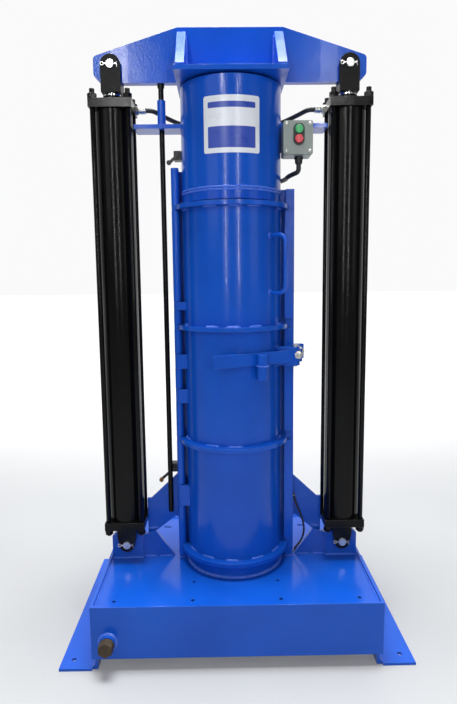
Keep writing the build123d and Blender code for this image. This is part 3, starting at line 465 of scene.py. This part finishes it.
TUBE_RADIUS = mm_box("chamber_tube")[1].x
DECK_TOP = mm_box("deck_plate")[1].z
SEAM_HEIGHT = 1361.0
PLATE_HALF = 12.7  # half of a one-inch plate
JAMB_REACH = 41.6  # how far the right jamb stands out of the chamber
RIM_INSET = 1.0
CORNER_X, CORNER_Y = 415, 312
AXIS = (0, 0, 0)
frame_beads = [
    bead(arc((0, 0, DECK_TOP + 1), TUBE_RADIUS, 180, 540), away(AXIS, 0.9), 12),
    bead(arc((0, 0, SEAM_HEIGHT - 3.6), TUBE_RADIUS - 0.4, 95, 455), away(AXIS, 0), 6.0),
    bead(arc((0, 0, SEAM_HEIGHT + 3.6), TUBE_RADIUS - 0.4, 100, 460), away(AXIS, 0), 6.0),
]
rim = mm_box("deck_plate")[1] - Vector((RIM_INSET, RIM_INSET, 0))
for side in (-1, 1):
    jamb_face = mm_box("left_jamb")[0].x if side < 0 else TUBE_RADIUS + JAMB_REACH
    wing_top = mm_box("left_wing" if side < 0 else "right_wing")[1].z
    for face in (-1, 1):
        edge = PLATE_HALF * face
        frame_beads += [
            bead([(side * 304, edge, DECK_TOP), (side * 407, edge, DECK_TOP)], (0, face, 1), 8),
            bead([(side * rim.x, face * -300, DECK_TOP), (side * rim.x, face * -4, DECK_TOP)],
                 (-side, 0, 1.2), 5),
            bead([(side * 4, face * rim.y, DECK_TOP), (side * 400, face * rim.y, DECK_TOP)],
                 (0, -face, 1.2), 5),
            bead([(side * CORNER_X, face * CORNER_Y, 40), (side * CORNER_X, face * CORNER_Y, 189)],
                 (side, face, 0), 5),
        ]
    frame_beads += [
        bead([(side * 406.4, -11, DECK_TOP), (side * 406.4, 11, DECK_TOP)], (side, 0, 1), 8),
        bead([(side * 206, -2, DECK_TOP), (side * 250, -2, DECK_TOP)], (0, -1, 1), 6),
        bead([(side * 262, -2, DECK_TOP), (side * 303, -2, DECK_TOP)], (0, -1, 1), 6),
        bead([(side * 304.8, -2, 190), (side * 304.8, -2, 258)], (-side, -1, 0), 6),
        bead([(side * 256, 9.6, 279), (side * 287, 9.6, 275)], (0, -1, 0.8), 8),
        bead([(side * 212, 9.6, 279), (side * 236, 9.6, 279)], (0, -1, 0.8), 7),
        bead([(jamb_face, 10, 336), (jamb_face, 10, 384)], (side, -1, 0), 6.5),
        bead([(jamb_face, 10, 408), (jamb_face, 10, wing_top - 4)], (side, -1, 0), 6.5),
        bead([(side * 166, -14, DECK_TOP), (jamb_face, -14, DECK_TOP)], (0, -1, 1), 7),
        bead([(jamb_face, -13, DECK_TOP), (jamb_face, 9, DECK_TOP)], (side, 0, 1), 7),
    ]
    for start in range(230, 1330, 200):
        stitch = [(side * 151.8, 14, start), (side * 151.8, 14, start + 45)]
        frame_beads.append(bead(stitch, (side * 0.4, 1, 0), 6))
BAR_TOP, BAR_BOTTOM = 1565.2, 1552.5
for start, end in ((79, 107), (253, 281)):
    frame_beads.append(bead(arc((0, 0, BAR_TOP), TUBE_RADIUS, start, end), away(AXIS, 1), 8))
    frame_beads.append(bead(arc((0, 0, BAR_BOTTOM), TUBE_RADIUS, start, end), away(AXIS, -1), 7))
tee_low, tee_high = mm_box("tee_block")
frame_beads += [
    bead(arc((0, 0, tee_high.z), TUBE_RADIUS, 169.5, 190.5), away(AXIS, 1), 6),
    bead(arc((0, 0, tee_low.z), TUBE_RADIUS, 169.5, 190.5), away(AXIS, -1), 6),
    bead([(194.3, -14, 853), (194.3, -14, 893)], (0, -1, 0), 5.5),
    bead([(196, -8, 895.5), (222, -8, 895.5)], (0, 0, 1), 3),
]
plug_low, plug_high = mm_box("drain_plug")
DRAIN = Vector(((plug_low.x + plug_high.x) / 2, -316, (plug_low.z + plug_high.z) / 2))
COUPLING_RADIUS = 23
FORWARD = (0, -1, 0)
frame_beads.append(bead(arc(DRAIN, COUPLING_RADIUS + 1.5, 0, 360, FORWARD), away(DRAIN, 0.9, FORWARD), 10))
frame_welds = piece("frame_welds", frame_beads, weld_enamel_painted_glints, "frame")
print("frame welds:", len(frame_beads), "beads,", len(frame_welds.data.vertices), "points")

# %% [markdown]
# ## Welds of the crosshead and the door
# The crosshead carries the whole force, so its gussets and the ram have heavy fillets on both sides. The
# door's ribs are only tacked to its shell with short stitches above and below, set at different angles. The
# handle's feet and the latch's ears have a bead all round, and the grip of the lever is welded to its bar.

# %% Welds of the crosshead, the door and the lever
HEAD_TOP = mm_box("head_plate")[1].z
gusset_high = mm_box("gussets")[1]
GUSSET_PLATE = 25.4
crosshead_beads = []
for side in (-1, 1):
    for face in (-1, 1):
        plane = side * (gusset_high.x - GUSSET_PLATE / 2) + face * GUSSET_PLATE / 2
        for end in (-1, 1):
            foot_width = 8 if face * side > 0 else 10
            edge = end * PLATE_HALF
            crosshead_beads += [
                bead([(plane, end * 16, HEAD_TOP), (plane, end * 150, HEAD_TOP)], (face, 0, 1), foot_width),
                bead([(plane, edge, HEAD_TOP + 6), (plane, edge, gusset_high.z - 4)], (face, end, 0), 10),
            ]
    edge = side * PLATE_HALF
    crosshead_beads.append(bead([(-128, edge, HEAD_TOP), (128, edge, HEAD_TOP)], (0, side, 1), 9))
RAM_RADIUS = 101.6
TRIP_ROD = (-210, 0, 1688)
HEAD_BOTTOM = mm_box("head_plate")[0].z
crosshead_beads += [
    bead(arc((0, 0, HEAD_BOTTOM), RAM_RADIUS, 0, 360), away(AXIS, -1), 8),
    bead(arc(TRIP_ROD, 8, 0, 360), away(TRIP_ROD, -1), 6),
]
piece("crosshead_welds", crosshead_beads, weld_enamel_painted_glints, "crosshead")

RIB_CENTRES = (234.0, 595.5, 957.0, 1318.5)
RIB_HALF = 6.35
STITCH = 8.0  # degrees each side, about 43 mm of bead
above = ((0, (-62, -34, -4, 27, 58)), (1, (-73, -26, 1, 70)), (2, (-72, -25, 0, 26, 72)))
under = ((1, (-50, -12, 33)), (2, (-49, 13, 50)), (3, (-71, -26, 2, 24, 71)))
door_beads = []
for stitches, way, width in ((above, 1, 8.5), (under, -1, 8)):
    for which, angles in stitches:
        ring_place = (0, 0, RIB_CENTRES[which] + way * RIB_HALF)
        for angle in angles:
            stitch = arc(ring_place, TUBE_RADIUS, angle - STITCH, angle + STITCH)
            door_beads.append(bead(stitch, away(AXIS, way * 1.1), width))
HANDLE_ANGLE = radians(47)
radial = Vector((sin(HANDLE_ANGLE), -cos(HANDLE_ANGLE), 0))
for height in (1061, 1230):
    foot = radial * TUBE_RADIUS + Vector((0, 0, height))
    door_beads.append(bead(arc(foot, 7.4, 0, 360, radial), away(foot, 0.9, radial), 6))
door_beads += [
    bead(arc((0, 0, 896.7), TUBE_RADIUS, 56, 69), away(AXIS, 1), 6),
    bead(arc((0, 0, 838.2), TUBE_RADIUS, 56, 69), away(AXIS, -1), 6),
]
piece("door_welds", door_beads, weld_enamel_painted_glints, "door")
GRIP = (84, -159, 848.5)
piece("lever_welds", [bead(arc(GRIP, 16.2, 0, 360), away(GRIP, -1), 6)], weld_enamel_painted_glints, "latch_lever_arm")
print("beads: crosshead", len(crosshead_beads), "door", len(door_beads))

# %% [markdown]
# ## Nuts and threads
# A drawn nut is a plain hexagonal prism, but a real one is chamfered by a cone, which cuts each corner lower
# than the middle of each flat and leaves the curved edge that catches the light. Cutting it with a boolean
# would work, but the shape is simple enough to work out: at each angle, the height of the rim is where the
# cone meets the flat. A thread is a rod whose radius rises and falls once a turn as it climbs: the ridge
# shape is a triangle wave of height less turn, so it winds as a true helix. The stud and the tie rods are
# M16, and the small adjuster on the lever is M12. All have a 2 mm pitch.

# %% Nuts and threads
NUT_SEGMENTS = 60
CHAMFER = radians(28)


def nut_ring(flats, height, inward, top):
    """One ring of a nut: the wall's edge where the chamfer cone meets the flats."""
    ring = []
    for k in range(NUT_SEGMENTS):
        angle = 2 * pi * k / NUT_SEGMENTS
        reach = flats / 2 / cos((angle % (pi / 3)) - pi / 6)
        drop = max(0.0, reach - flats / 2 * 0.97) * tan(CHAMFER)
        reach = min(reach, flats / 2 * 0.95) if inward else reach
        level = height if inward else (height - drop if top else drop)
        ring.append(Vector((reach * cos(angle), reach * sin(angle), level)) * MM)
    return ring


def nut(flats, height):
    """A hexagonal nut, chamfered at both faces."""
    return skin([nut_ring(flats, 0, True, False), nut_ring(flats, height, False, False),
                 nut_ring(flats, height, False, True), nut_ring(flats, height, True, True)])


def thread(radius, length, pitch=2.0, depth=1.1, segments=24):
    """A threaded rod with chamfered ends."""
    rows = round(length / pitch * 6)
    rings = []
    for row in range(rows + 1):
        height = length * row / rows
        easing = min(1.0, min(height, length - height) / 1.5 + 0.15)
        ring = []
        for k in range(segments):
            turn = (height / pitch - k / segments) % 1.0
            ridge = abs(2 * turn - 1)
            reach = radius - depth + easing * depth * ridge
            angle = 2 * pi * k / segments
            ring.append(Vector((reach * cos(angle), reach * sin(angle), height)) * MM)
        rings.append(ring)
    return skin(rings)


def washer(outer, thickness):
    """A stamped washer with a rolled edge."""
    return turned([(outer - 0.8, 0), (outer, 0.4), (outer, thickness - 0.7), (outer - 0.9, thickness)])


BACK = (0, 1, 0)
STUD = Vector((209.5, 0, 873))
stud_low, stud_high = mm_box("catch_stud")
lug_front, lug_back = -14.0, -1.3
catch_stud = piece("catch_stud_threaded", [
    (thread(8.0, stud_high.y - stud_low.y), stand((STUD.x, stud_low.y, STUD.z), BACK)),
    (washer(16, 2.4), stand((STUD.x, lug_front - 2.4, STUD.z), BACK)),
    (nut(30, 11.5), stand((STUD.x, lug_front - 13.9, STUD.z), BACK)),
    (washer(16, 2.4), stand((STUD.x, lug_back, STUD.z), BACK)),
    (nut(30, 11.5), stand((STUD.x, lug_back + 2.4, STUD.z), BACK)),
], zinc_plate, "frame")
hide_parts("catch_stud")
ADJUSTER_X, ADJUSTER_Z = 198, 872
piece("lever_adjuster", [
    (thread(6.0, 26), stand((ADJUSTER_X, -108, ADJUSTER_Z), BACK)),
    (nut(22, 9), stand((ADJUSTER_X, -103, ADJUSTER_Z), BACK, 12)),
    (washer(12, 1.8), stand((ADJUSTER_X, -94, ADJUSTER_Z), BACK)),
], zinc_plate, "latch_lever_arm")
print("catch stud:", len(catch_stud.data.vertices), "points, y", round(stud_low.y), "to", round(stud_high.y))

# %% [markdown]
# ## Tie rods
# Four long studs clamp each cylinder's two caps onto its barrel. Only their ends are threaded, and each has a
# nut with a washer on the head cap. They were sprayed black with the cylinder, so the threads are half filled
# with paint, and so they are cut less deep here than on the plated stud.

# %% Tie rods
CYLINDER = 355.6
TIE = 52.0
tie_bottom = mm_box("left_tie_rods")[0].z
CAP_UNDER, CAP_OVER = 300.0, 1632.0
for side_name, side in (("left", -1), ("right", 1)):
    skins = []
    for dx in (-TIE, TIE):
        for dy in (-TIE, TIE):
            x = side * CYLINDER + dx
            skins += [
                (turned([(7.6, 0), (7.9, 0.6), (7.9, 1331.4), (7.6, 1332)], 28), stand((x, dy, CAP_UNDER))),
                (thread(8.0, 18, depth=0.8), stand((x, dy, tie_bottom))),
                (thread(8.0, 28, depth=0.8), stand((x, dy, CAP_OVER))),
                (nut(24, 13), stand((x, dy, CAP_UNDER - 13.2), turn=chance.uniform(0, 60))),
                (washer(13.2, 2), stand((x, dy, CAP_OVER))),
                (nut(24, 12.4), stand((x, dy, CAP_OVER + 2), turn=chance.uniform(0, 60))),
            ]
    tie_rods = piece(f"{side_name}_tie_rods_threaded", skins, black_enamel, "frame")
    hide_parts(f"{side_name}_tie_rods")
print("tie rods: 8, nuts: 16, last piece has", len(tie_rods.data.vertices), "points")

# %% [markdown]
# ## Split pins
# A split pin is half-round wire folded double, so it has a round eye at one end and two legs at the other,
# which are bent apart once it is in. The CAD model has its straight middle through each clevis pin. Here the
# eye and the bent legs are swept from wire along a flat path.

# %% Split pins
WIRE = 2.1
EYE = 4.6


def wire(path, radius, flat_normal):
    """Round wire along a flat path, in millimetres."""
    points, total = even_points(path, 1.2)
    normal = Vector(flat_normal).normalized()
    rings = []
    for k, point in enumerate(points):
        ahead = points[min(k + 1, len(points) - 1)] - points[max(k - 1, 0)]
        across = ahead.cross(normal).normalized()
        rings.append([(point + (across * cos(2 * pi * j / 10) + normal * sin(2 * pi * j / 10)) * radius) * MM
                      for j in range(10)])
    return skin(rings)


def split_pin(centre):
    """The eye and the bent legs of a split pin through a clevis pin's front end."""
    centre = Vector(centre)
    eye = [centre + Vector((EYE * cos(radians(a)) - 19 - EYE, 0, EYE * sin(radians(a))))
           for a in range(25, 336, 10)]
    eye = [centre + Vector((-17, 0, 1.2))] + eye + [centre + Vector((-17, 0, -1.2))]
    skins = [(wire(eye, WIRE * 0.8, BACK), HERE)]
    for lift, length in ((1, 6), (-1, 9)):
        leg = [centre + Vector((16, 0, lift * 0.8)), centre + Vector((18.5, 0, lift * 1.2)),
               centre + Vector((20.5, 0, lift * 3.0)), centre + Vector((21, 0, lift * length))]
        skins.append((wire(leg, WIRE * 0.62, BACK), HERE))
    return skins


PIN_FRONT = -34.5
for side_name, side in (("left", -1), ("right", 1)):
    for level_name, body in (("lower", "frame"), ("upper", "crosshead")):
        pin_low, pin_high = mm_box(f"{side_name}_{level_name}_pin")
        middle = (side * CYLINDER, PIN_FRONT, (pin_low.z + pin_high.z) / 2)
        made = piece(f"{side_name}_{level_name}_split_pin", split_pin(middle), zinc_plate, body)
print("split pins: 4, the last one has", len(made.data.vertices), "points")

# %% [markdown]
# ## Control box
# The box is die cast and closes with a lid on a ring of rubber, so a thin dark line runs round it. Four
# slotted captive screws hold the lid. The push-buttons are moulded with a rounded rim and a faintly dished
# face, and each sits in a raised collar of the bezel. Lathe-turned skins suit all the round parts; a screw's
# head is two halves of a dome with the slot between them, on a thin washer face.

# %% Control box
box_low, box_high = mm_box("control_box")
lid_low, lid_high = mm_box("box_lid")
bezel_front = mm_box("button_bezel")[0].y


def rounded_outline(half_x, half_z, corner, segments=8):
    """Points of a rounded rectangle around the local Z axis, in metres from millimetres."""
    points = []
    for quarter, (sx, sz) in enumerate(((1, 1), (-1, 1), (-1, -1), (1, -1))):
        for k in range(segments + 1):
            angle = pi / 2 * (quarter + k / segments)
            points.append(Vector((sx * (half_x - corner) + corner * cos(angle),
                                  sz * (half_z - corner) + corner * sin(angle), 0)) * MM)
    return points


def lifted(outline, height, share=1.0):
    """The same outline at a height in millimetres, larger or smaller by a share."""
    return [Vector((point.x * share, point.y * share, height * MM)) for point in outline]


box_middle = ((box_low.x + box_high.x) / 2, lid_high.y, (box_low.z + box_high.z) / 2)
half_x, half_z = (box_high.x - box_low.x) / 2, (box_high.z - box_low.z) / 2
seal = rounded_outline(half_x + 0.35, half_z + 0.35, 6.3)
SEAL_SECTION = ((-1.0, 0.9), (-1.0, 0.99), (-0.7, 1.0), (0.7, 1.0), (1.0, 0.99), (1.0, 0.9), (-1.0, 0.9))
seal_rings = [lifted(seal, height, share) for height, share in SEAL_SECTION]
piece("lid_gasket", [(skin(seal_rings, capped=False), stand(box_middle, FORWARD))], black_nylon, "frame")


def half_dome(radius, height, slot, side):
    """One half of a domed, slotted screw head."""
    rings = []
    for share, level in ((1.0, 0.0), (1.0, 0.45), (0.93, 0.75), (0.72, 0.95), (0.4, 1.0)):
        reach = radius * share
        spread = asin(min(0.99, slot / 2 / reach))
        turns = [spread + (pi - 2 * spread) * k / 14 for k in range(15)]
        rings.append([Vector((reach * cos(turn), side * reach * sin(turn), height * level)) * MM
                      for turn in turns])
    return skin(rings)


screws = []
for screw_x in (box_low.x + 9, box_high.x - 9):
    for screw_z in (box_low.z + 9, box_high.z - 9):
        seat = stand((screw_x, lid_low.y + 1.5, screw_z), FORWARD, chance.uniform(0, 180))
        screws += [(turned([(4.6, 0), (4.9, 0.3), (4.9, 1.6), (4.6, 1.9)]), seat),
                   (half_dome(4.4, 3.4, 1.3, 1), seat), (half_dome(4.4, 3.4, 1.3, -1), seat)]
piece("lid_screws", screws, zinc_plate, "frame")

buttons = {"green": (green_acetal, "green_lens"), "red": (red_acetal, "red_lens")}
for colour_name, (finish, slot_name) in buttons.items():
    low, high = mm_box(f"{colour_name}_button")
    centre_x, centre_z = (low.x + high.x) / 2, (low.z + high.z) / 2
    depth = high.y - low.y
    profile = [(11.6, 0), (12, 0.6), (12, depth - 2.6), (11.6, depth - 1.1), (10.7, depth - 0.25),
               (9.6, depth), (8.2, depth - 0.25), (6.0, depth - 0.8), (3.0, depth - 1.1), (0.4, depth - 1.15)]
    seat = stand((centre_x, high.y, centre_z), FORWARD)
    cap = piece(f"{colour_name}_button_cap", [(turned(profile, 56), seat)], finish, f"{colour_name}_push")
    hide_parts(f"{colour_name}_button")
    collar_profile = [(12.6, 0), (14.3, 0), (14.3, 1.0), (13.7, 1.6), (12.9, 1.6), (12.6, 1.2), (12.6, 0)]
    collar = skin([circle(r, h, 56) for r, h in collar_profile], capped=False)
    piece(f"{colour_name}_button_collar", [(collar, stand((centre_x, bezel_front + 0.3, centre_z), FORWARD))],
          black_nylon, "frame")

gland_low, gland_high = mm_box("box_gland")
gland_place = ((gland_low.x + gland_high.x) / 2, (gland_low.y + gland_high.y) / 2, gland_low.z)
gland = piece("cable_gland", [
    (nut(23.5, 7.5), stand((gland_place[0], gland_place[1], gland_high.z - 7.5))),
    (turned([(6.2, 0), (8.6, 0.6), (10.4, 3), (11.2, 7), (11.3, 12.5), (11.6, 13), (11.6, 18.6)]),
     stand(gland_place)),
], black_nylon, "frame")
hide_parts("box_gland")
END_ANGLE = 180 - degrees(asin(46 / 174.2))
END_HEIGHT = 1411.0
entry = []
for reach, half_wide, half_high, corner in ((TUBE_RADIUS - 3, 19, 23, 7), (TUBE_RADIUS + 26, 18, 22, 7),
                                            (TUBE_RADIUS + 32, 15, 19, 8), (TUBE_RADIUS + 34, 10, 14, 8)):
    entry.append(lifted(rounded_outline(half_wide, half_high, corner), reach))
away_from_axis = Vector((sin(radians(END_ANGLE)), -cos(radians(END_ANGLE)), 0))
piece("cable_entry_cover", [(skin(entry), stand((0, 0, END_HEIGHT), away_from_axis, 90))], black_nylon,
      "frame")
print("box: gasket, 4 screws, 2 buttons with collars, gland, cable entry at", round(END_ANGLE), "degrees")

# %% [markdown]
# ## Hose ends and the plug
# A hydraulic hose ends in a steel ferrule, crimped in a die that leaves flat grooves round it, and a swivel
# nut that turns on the port. Both are zinc plated. The drain plug is rusted iron with a hexagonal head on a
# round collar, and it is darker than anything round it. Each is turned or built from nut rings, in place of
# the plain CAD pieces. The rollers of the two switch arms are turned as well.

# %% Hose ends and the plug
PORT = Vector((292.1, 25.0, 1619.0))
TEE = Vector((30.0, 178.2, 1601.0))
crimp = [(8.0, 0), (9.2, 0.6), (10.9, 1.6), (10.9, 4), (10.3, 4.8), (10.3, 7), (11.2, 7.8), (11.2, 10.4),
         (10.5, 11.2), (10.5, 13.4), (11.2, 14.2), (11.2, 17), (10.2, 18.2), (8.2, 20)]
hose_ends = []
for side in (-1, 1):
    outward = (side, 0, 0)
    inward = (-side, 0, 0)
    hose_ends += [
        (nut(23.6, 11), stand((side * (PORT.x - 11), PORT.y, PORT.z), outward, 10)),
        (turned([(8.9, 0), (9.4, 0.5), (9.4, 4)]), stand((side * (PORT.x - 14.5), PORT.y, PORT.z), outward)),
        (turned(crimp), stand((side * (PORT.x - 33), PORT.y, PORT.z), outward)),
        (nut(23.6, 9), stand((side * TEE.x, TEE.y, TEE.z), outward, 20)),
        (turned(crimp), stand((side * (TEE.x + 28.5), TEE.y, TEE.z), inward)),
    ]
hose_couplings = piece("hose_couplings", hose_ends, zinc_plate, "frame")
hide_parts("hose_fittings")

PLUG_HEAD = 28
plug = piece("drain_plug_hex", [
    (turned([(14.6, 0), (14.9, 0.5), (14.9, 15), (20.5, 15.2), (21.4, 16.4), (21.4, 20), (19.8, 21.4)]),
     stand((DRAIN.x, plug_low.y + PLUG_HEAD + 14, DRAIN.z), FORWARD)),
    (nut(38, PLUG_HEAD - 5), stand((DRAIN.x, plug_low.y + PLUG_HEAD - 5, DRAIN.z), FORWARD, 30)),
], rusty_iron, "frame")
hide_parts("drain_plug")

rollers = []
for switch_node, body, finish, slot_name in (
        ("upper_switch_arm", "upper_trip_arm", black_nylon, "black_plastic"),
        ("lower_switch_arm", "lower_trip_arm", worn_brass, "zinc_steel")):
    low, high = mm_box(switch_node)
    centre = (low.x + 7, high.y - 3 - 9.1, low.z + 7)
    profile = [(6.2, 0), (7.0, 0.5), (7.25, 4.5), (7.0, 8.6), (6.2, 9.1), (3.4, 9.1), (3.4, 8.7), (2.9, 8.7),
               (2.6, 8.3), (0.3, 8.2)]
    front = stand((centre[0], centre[1] + 9.1, centre[2]), FORWARD)
    rollers.append(piece(f"{switch_node}_roller", [(turned(profile, 44), front)], finish, body))
print("hose ends: 4, plug: 1, rollers:", len(rollers))

# %% [markdown]
# ## The lead at the right jamb
# A thin black lead bows out from the right jamb, in front of the brace's window, and goes back to the jamb
# near the deck. Both its ends are held in saddle clips screwed to the jamb, so it is not a free cord. A NURBS
# curve through a few points gives the even bow that a springy lead takes between two clips.

# %% The lead at the right jamb
LEAD_RADIUS = 3.2
JAMB_FACE = TUBE_RADIUS + JAMB_REACH
bow = [(4, 2, 396), (6, -3, 372), (22, -8, 338), (37, -10, 296), (39, -10, 262), (27, -9, 226), (7, -6, 206),
       (4, -4, 192)]
lead_curve = bpy.data.curves.new("jamb_lead", "CURVE")
lead_curve.dimensions = "3D"
lead_curve.bevel_depth = LEAD_RADIUS * MM
lead_curve.bevel_resolution = 4
lead_curve.use_fill_caps = True
spline = lead_curve.splines.new("NURBS")
spline.points.add(len(bow) - 1)
for point, (out, across, height) in zip(spline.points, bow):
    point.co = [(JAMB_FACE + out) * MM, across * MM, height * MM, 1]
spline.order_u = 4
spline.use_endpoint_u = True
spline.resolution_u = 12
lead_curve.materials.append(wrapped_hose)
lead = bpy.data.objects.new("jamb_lead", lead_curve)
bpy.context.scene.collection.objects.link(lead)
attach(lead, "frame")
clips = []
for place_y, place_z in ((1, 388), (-4.5, 197)):
    saddle = [Vector((JAMB_FACE + 5 * sin(radians(a)) * 1.5 + 0.4, place_y + 5 * cos(radians(a)), place_z))
              for a in range(0, 181, 15)]
    saddle.insert(0, Vector((JAMB_FACE + 0.6, place_y + 10, place_z)))
    saddle.append(Vector((JAMB_FACE + 0.6, place_y - 8, place_z)))
    clips.append((wire(saddle, 1.4, (0, 0, 1)), HERE))
piece("jamb_lead_clips", clips, zinc_plate, "frame")
print("lead with", len(bow), "points and", len(clips), "clips")

# %% [markdown]
# ## Label
# A white vinyl label is stuck round the front of the chamber near its top. It has no lettering here: only a
# narrow bar and a wide one, both plain blue. It is a curved sheet 0.35 mm thick, with the bars as thinner
# sheets on it, so that each edge is real and the label keeps its round shape from any side.

# %% Label
def wrapped_sheet(start, end, low, high, radius, thickness, corner):
    """A sheet wrapped on the chamber between two angles and two heights, with round corners."""
    span = radians(end - start) * radius
    columns = max(6, round(span / 3))
    rings = []
    for k in range(columns + 1):
        angle = radians(start + (end - start) * k / columns)
        inset = max(0.0, corner - min(span * k / columns, span * (1 - k / columns)))
        drop = corner - sqrt(max(0.0, corner ** 2 - inset ** 2))
        spots = ((radius, low + drop), (radius + thickness, low + drop), (radius + thickness, high - drop),
                 (radius, high - drop))
        rings.append([Vector((reach * sin(angle), -reach * cos(angle), height)) * MM
                      for reach, height in spots])
    return skin(rings), HERE


piece("chamber_label", [wrapped_sheet(-31, 31, 1456, 1611, TUBE_RADIUS + 0.05, 0.35, 5)], label_white,
      "frame")
bars = [wrapped_sheet(-26, 26, 1578, 1594, TUBE_RADIUS + 0.3, 0.25, 1.5),
        wrapped_sheet(-26, 26, 1470, 1528, TUBE_RADIUS + 0.3, 0.25, 1.5)]
piece("label_bars", bars, label_blue, "frame")
print("label and", len(bars), "bars")

# %% [markdown]
# ## Floor and light
# The machine stands on a plain pale studio floor that glows faintly towards the back, so that it runs into
# the sky there with no horizon. A wide panel overhead lights the deck. It stays clear of the place that the
# gussets' sloping edges would mirror. Two weaker panels fill the front from both sides. Two small tubes near
# the crosshead make the glints on it, and two tall ones in front draw a streak down each round part. The sky
# is bright behind the machine and dim in front, so the enamel's front faces mirror little and stay deep.

# %% Floor and light
FLOOR_HALF = 40.0
floor_mesh = bpy.data.meshes.new("studio_floor")
floor_corners = [(x * FLOOR_HALF, y * FLOOR_HALF, 0) for x, y in ((-1, -1), (1, -1), (1, 1), (-1, 1))]
floor_mesh.from_pydata(floor_corners, [], [(0, 1, 2, 3)])
floor = bpy.data.objects.new("studio_floor", floor_mesh)
bpy.context.scene.collection.objects.link(floor)
vinyl, vinyl_place = started("pale_studio_vinyl")
cloudy = add(vinyl, "ShaderNodeTexNoise", {"Vector": vinyl_place, "Scale": per_metre(400), "Detail": 3.0})
vinyl_colour = add(vinyl, "ShaderNodeMix", {"Factor": cloudy, "A": linear("#9A9C9E"), "B": linear("#A2A4A6")},
                   out="Result", data_type="RGBA")
vinyl_depth = add(vinyl, "ShaderNodeSeparateXYZ", {0: vinyl_place}, out="Y")
backdrop = add(vinyl, "ShaderNodeMapRange", {"Value": vinyl_depth, "From Min": 0.4, "From Max": 3.5,
                                             "To Min": 0.12, "To Max": 0.85}, out="Result",
               interpolation_type="SMOOTHSTEP")
floor_mesh.materials.append(surfaced(vinyl, Base_Color=vinyl_colour, Roughness=0.6, IOR=1.45,
                                     Emission_Color=linear("#FFFFFF"), Emission_Strength=backdrop))


def panel(name, place, target, width, height, watts):
    """A soft rectangular light at a place, turned to a target."""
    lamp = bpy.data.lights.new(name, "AREA")
    lamp.shape = "RECTANGLE"
    lamp.size = width
    lamp.size_y = height
    lamp.energy = watts
    made = bpy.data.objects.new(name, lamp)
    made.location = place
    made.rotation_euler = (Vector(target) - Vector(place)).to_track_quat("-Z", "Y").to_euler()
    bpy.context.scene.collection.objects.link(made)
    return made


panel("left_front_panel", (-2.4, -2.6, 2.3), (0, 0, 1.0), 1.6, 1.6, 9)
panel("right_front_panel", (2.6, -2.2, 1.8), (0, 0, 0.9), 1.2, 1.6, 5)
panel("overhead_panel", (0, -0.05, 4.4), (0, -0.05, 0), 2.2, 1.2, 310)
for side in (-1, 1):
    panel(f"ceiling_tube_{side}", (side * 0.63, -1.8, 2.36), (side * 0.33, 0, 1.73), 0.10, 0.34,
          3.2 - side * 1.8)
    panel(f"far_tube_{side}", (side * 0.9, -3.6, 1.9), (0, 0, 1.1), 0.08, 1.8, 20)
world = bpy.data.worlds.new("studio")
bpy.context.scene.world = world
world.use_nodes = True
sky = world.node_tree
direction = sky.nodes.new("ShaderNodeTexCoord").outputs["Generated"]
split = sky.nodes.new("ShaderNodeSeparateXYZ")
sky.links.new(direction, split.inputs[0])
depth_share = sky.nodes.new("ShaderNodeMapRange")
depth_share.inputs["From Min"].default_value = -0.1
depth_share.inputs["From Max"].default_value = 0.55
depth_share.inputs["To Min"].default_value = 0.15
depth_share.inputs["To Max"].default_value = 1.0
sky.links.new(split.outputs["Y"], depth_share.inputs["Value"])
sky.links.new(depth_share.outputs["Result"], sky.nodes["Background"].inputs["Strength"])
sky.nodes["Background"].inputs["Color"].default_value = linear("#FAFAFB")
bpy.context.scene.view_settings.view_transform = "Standard"
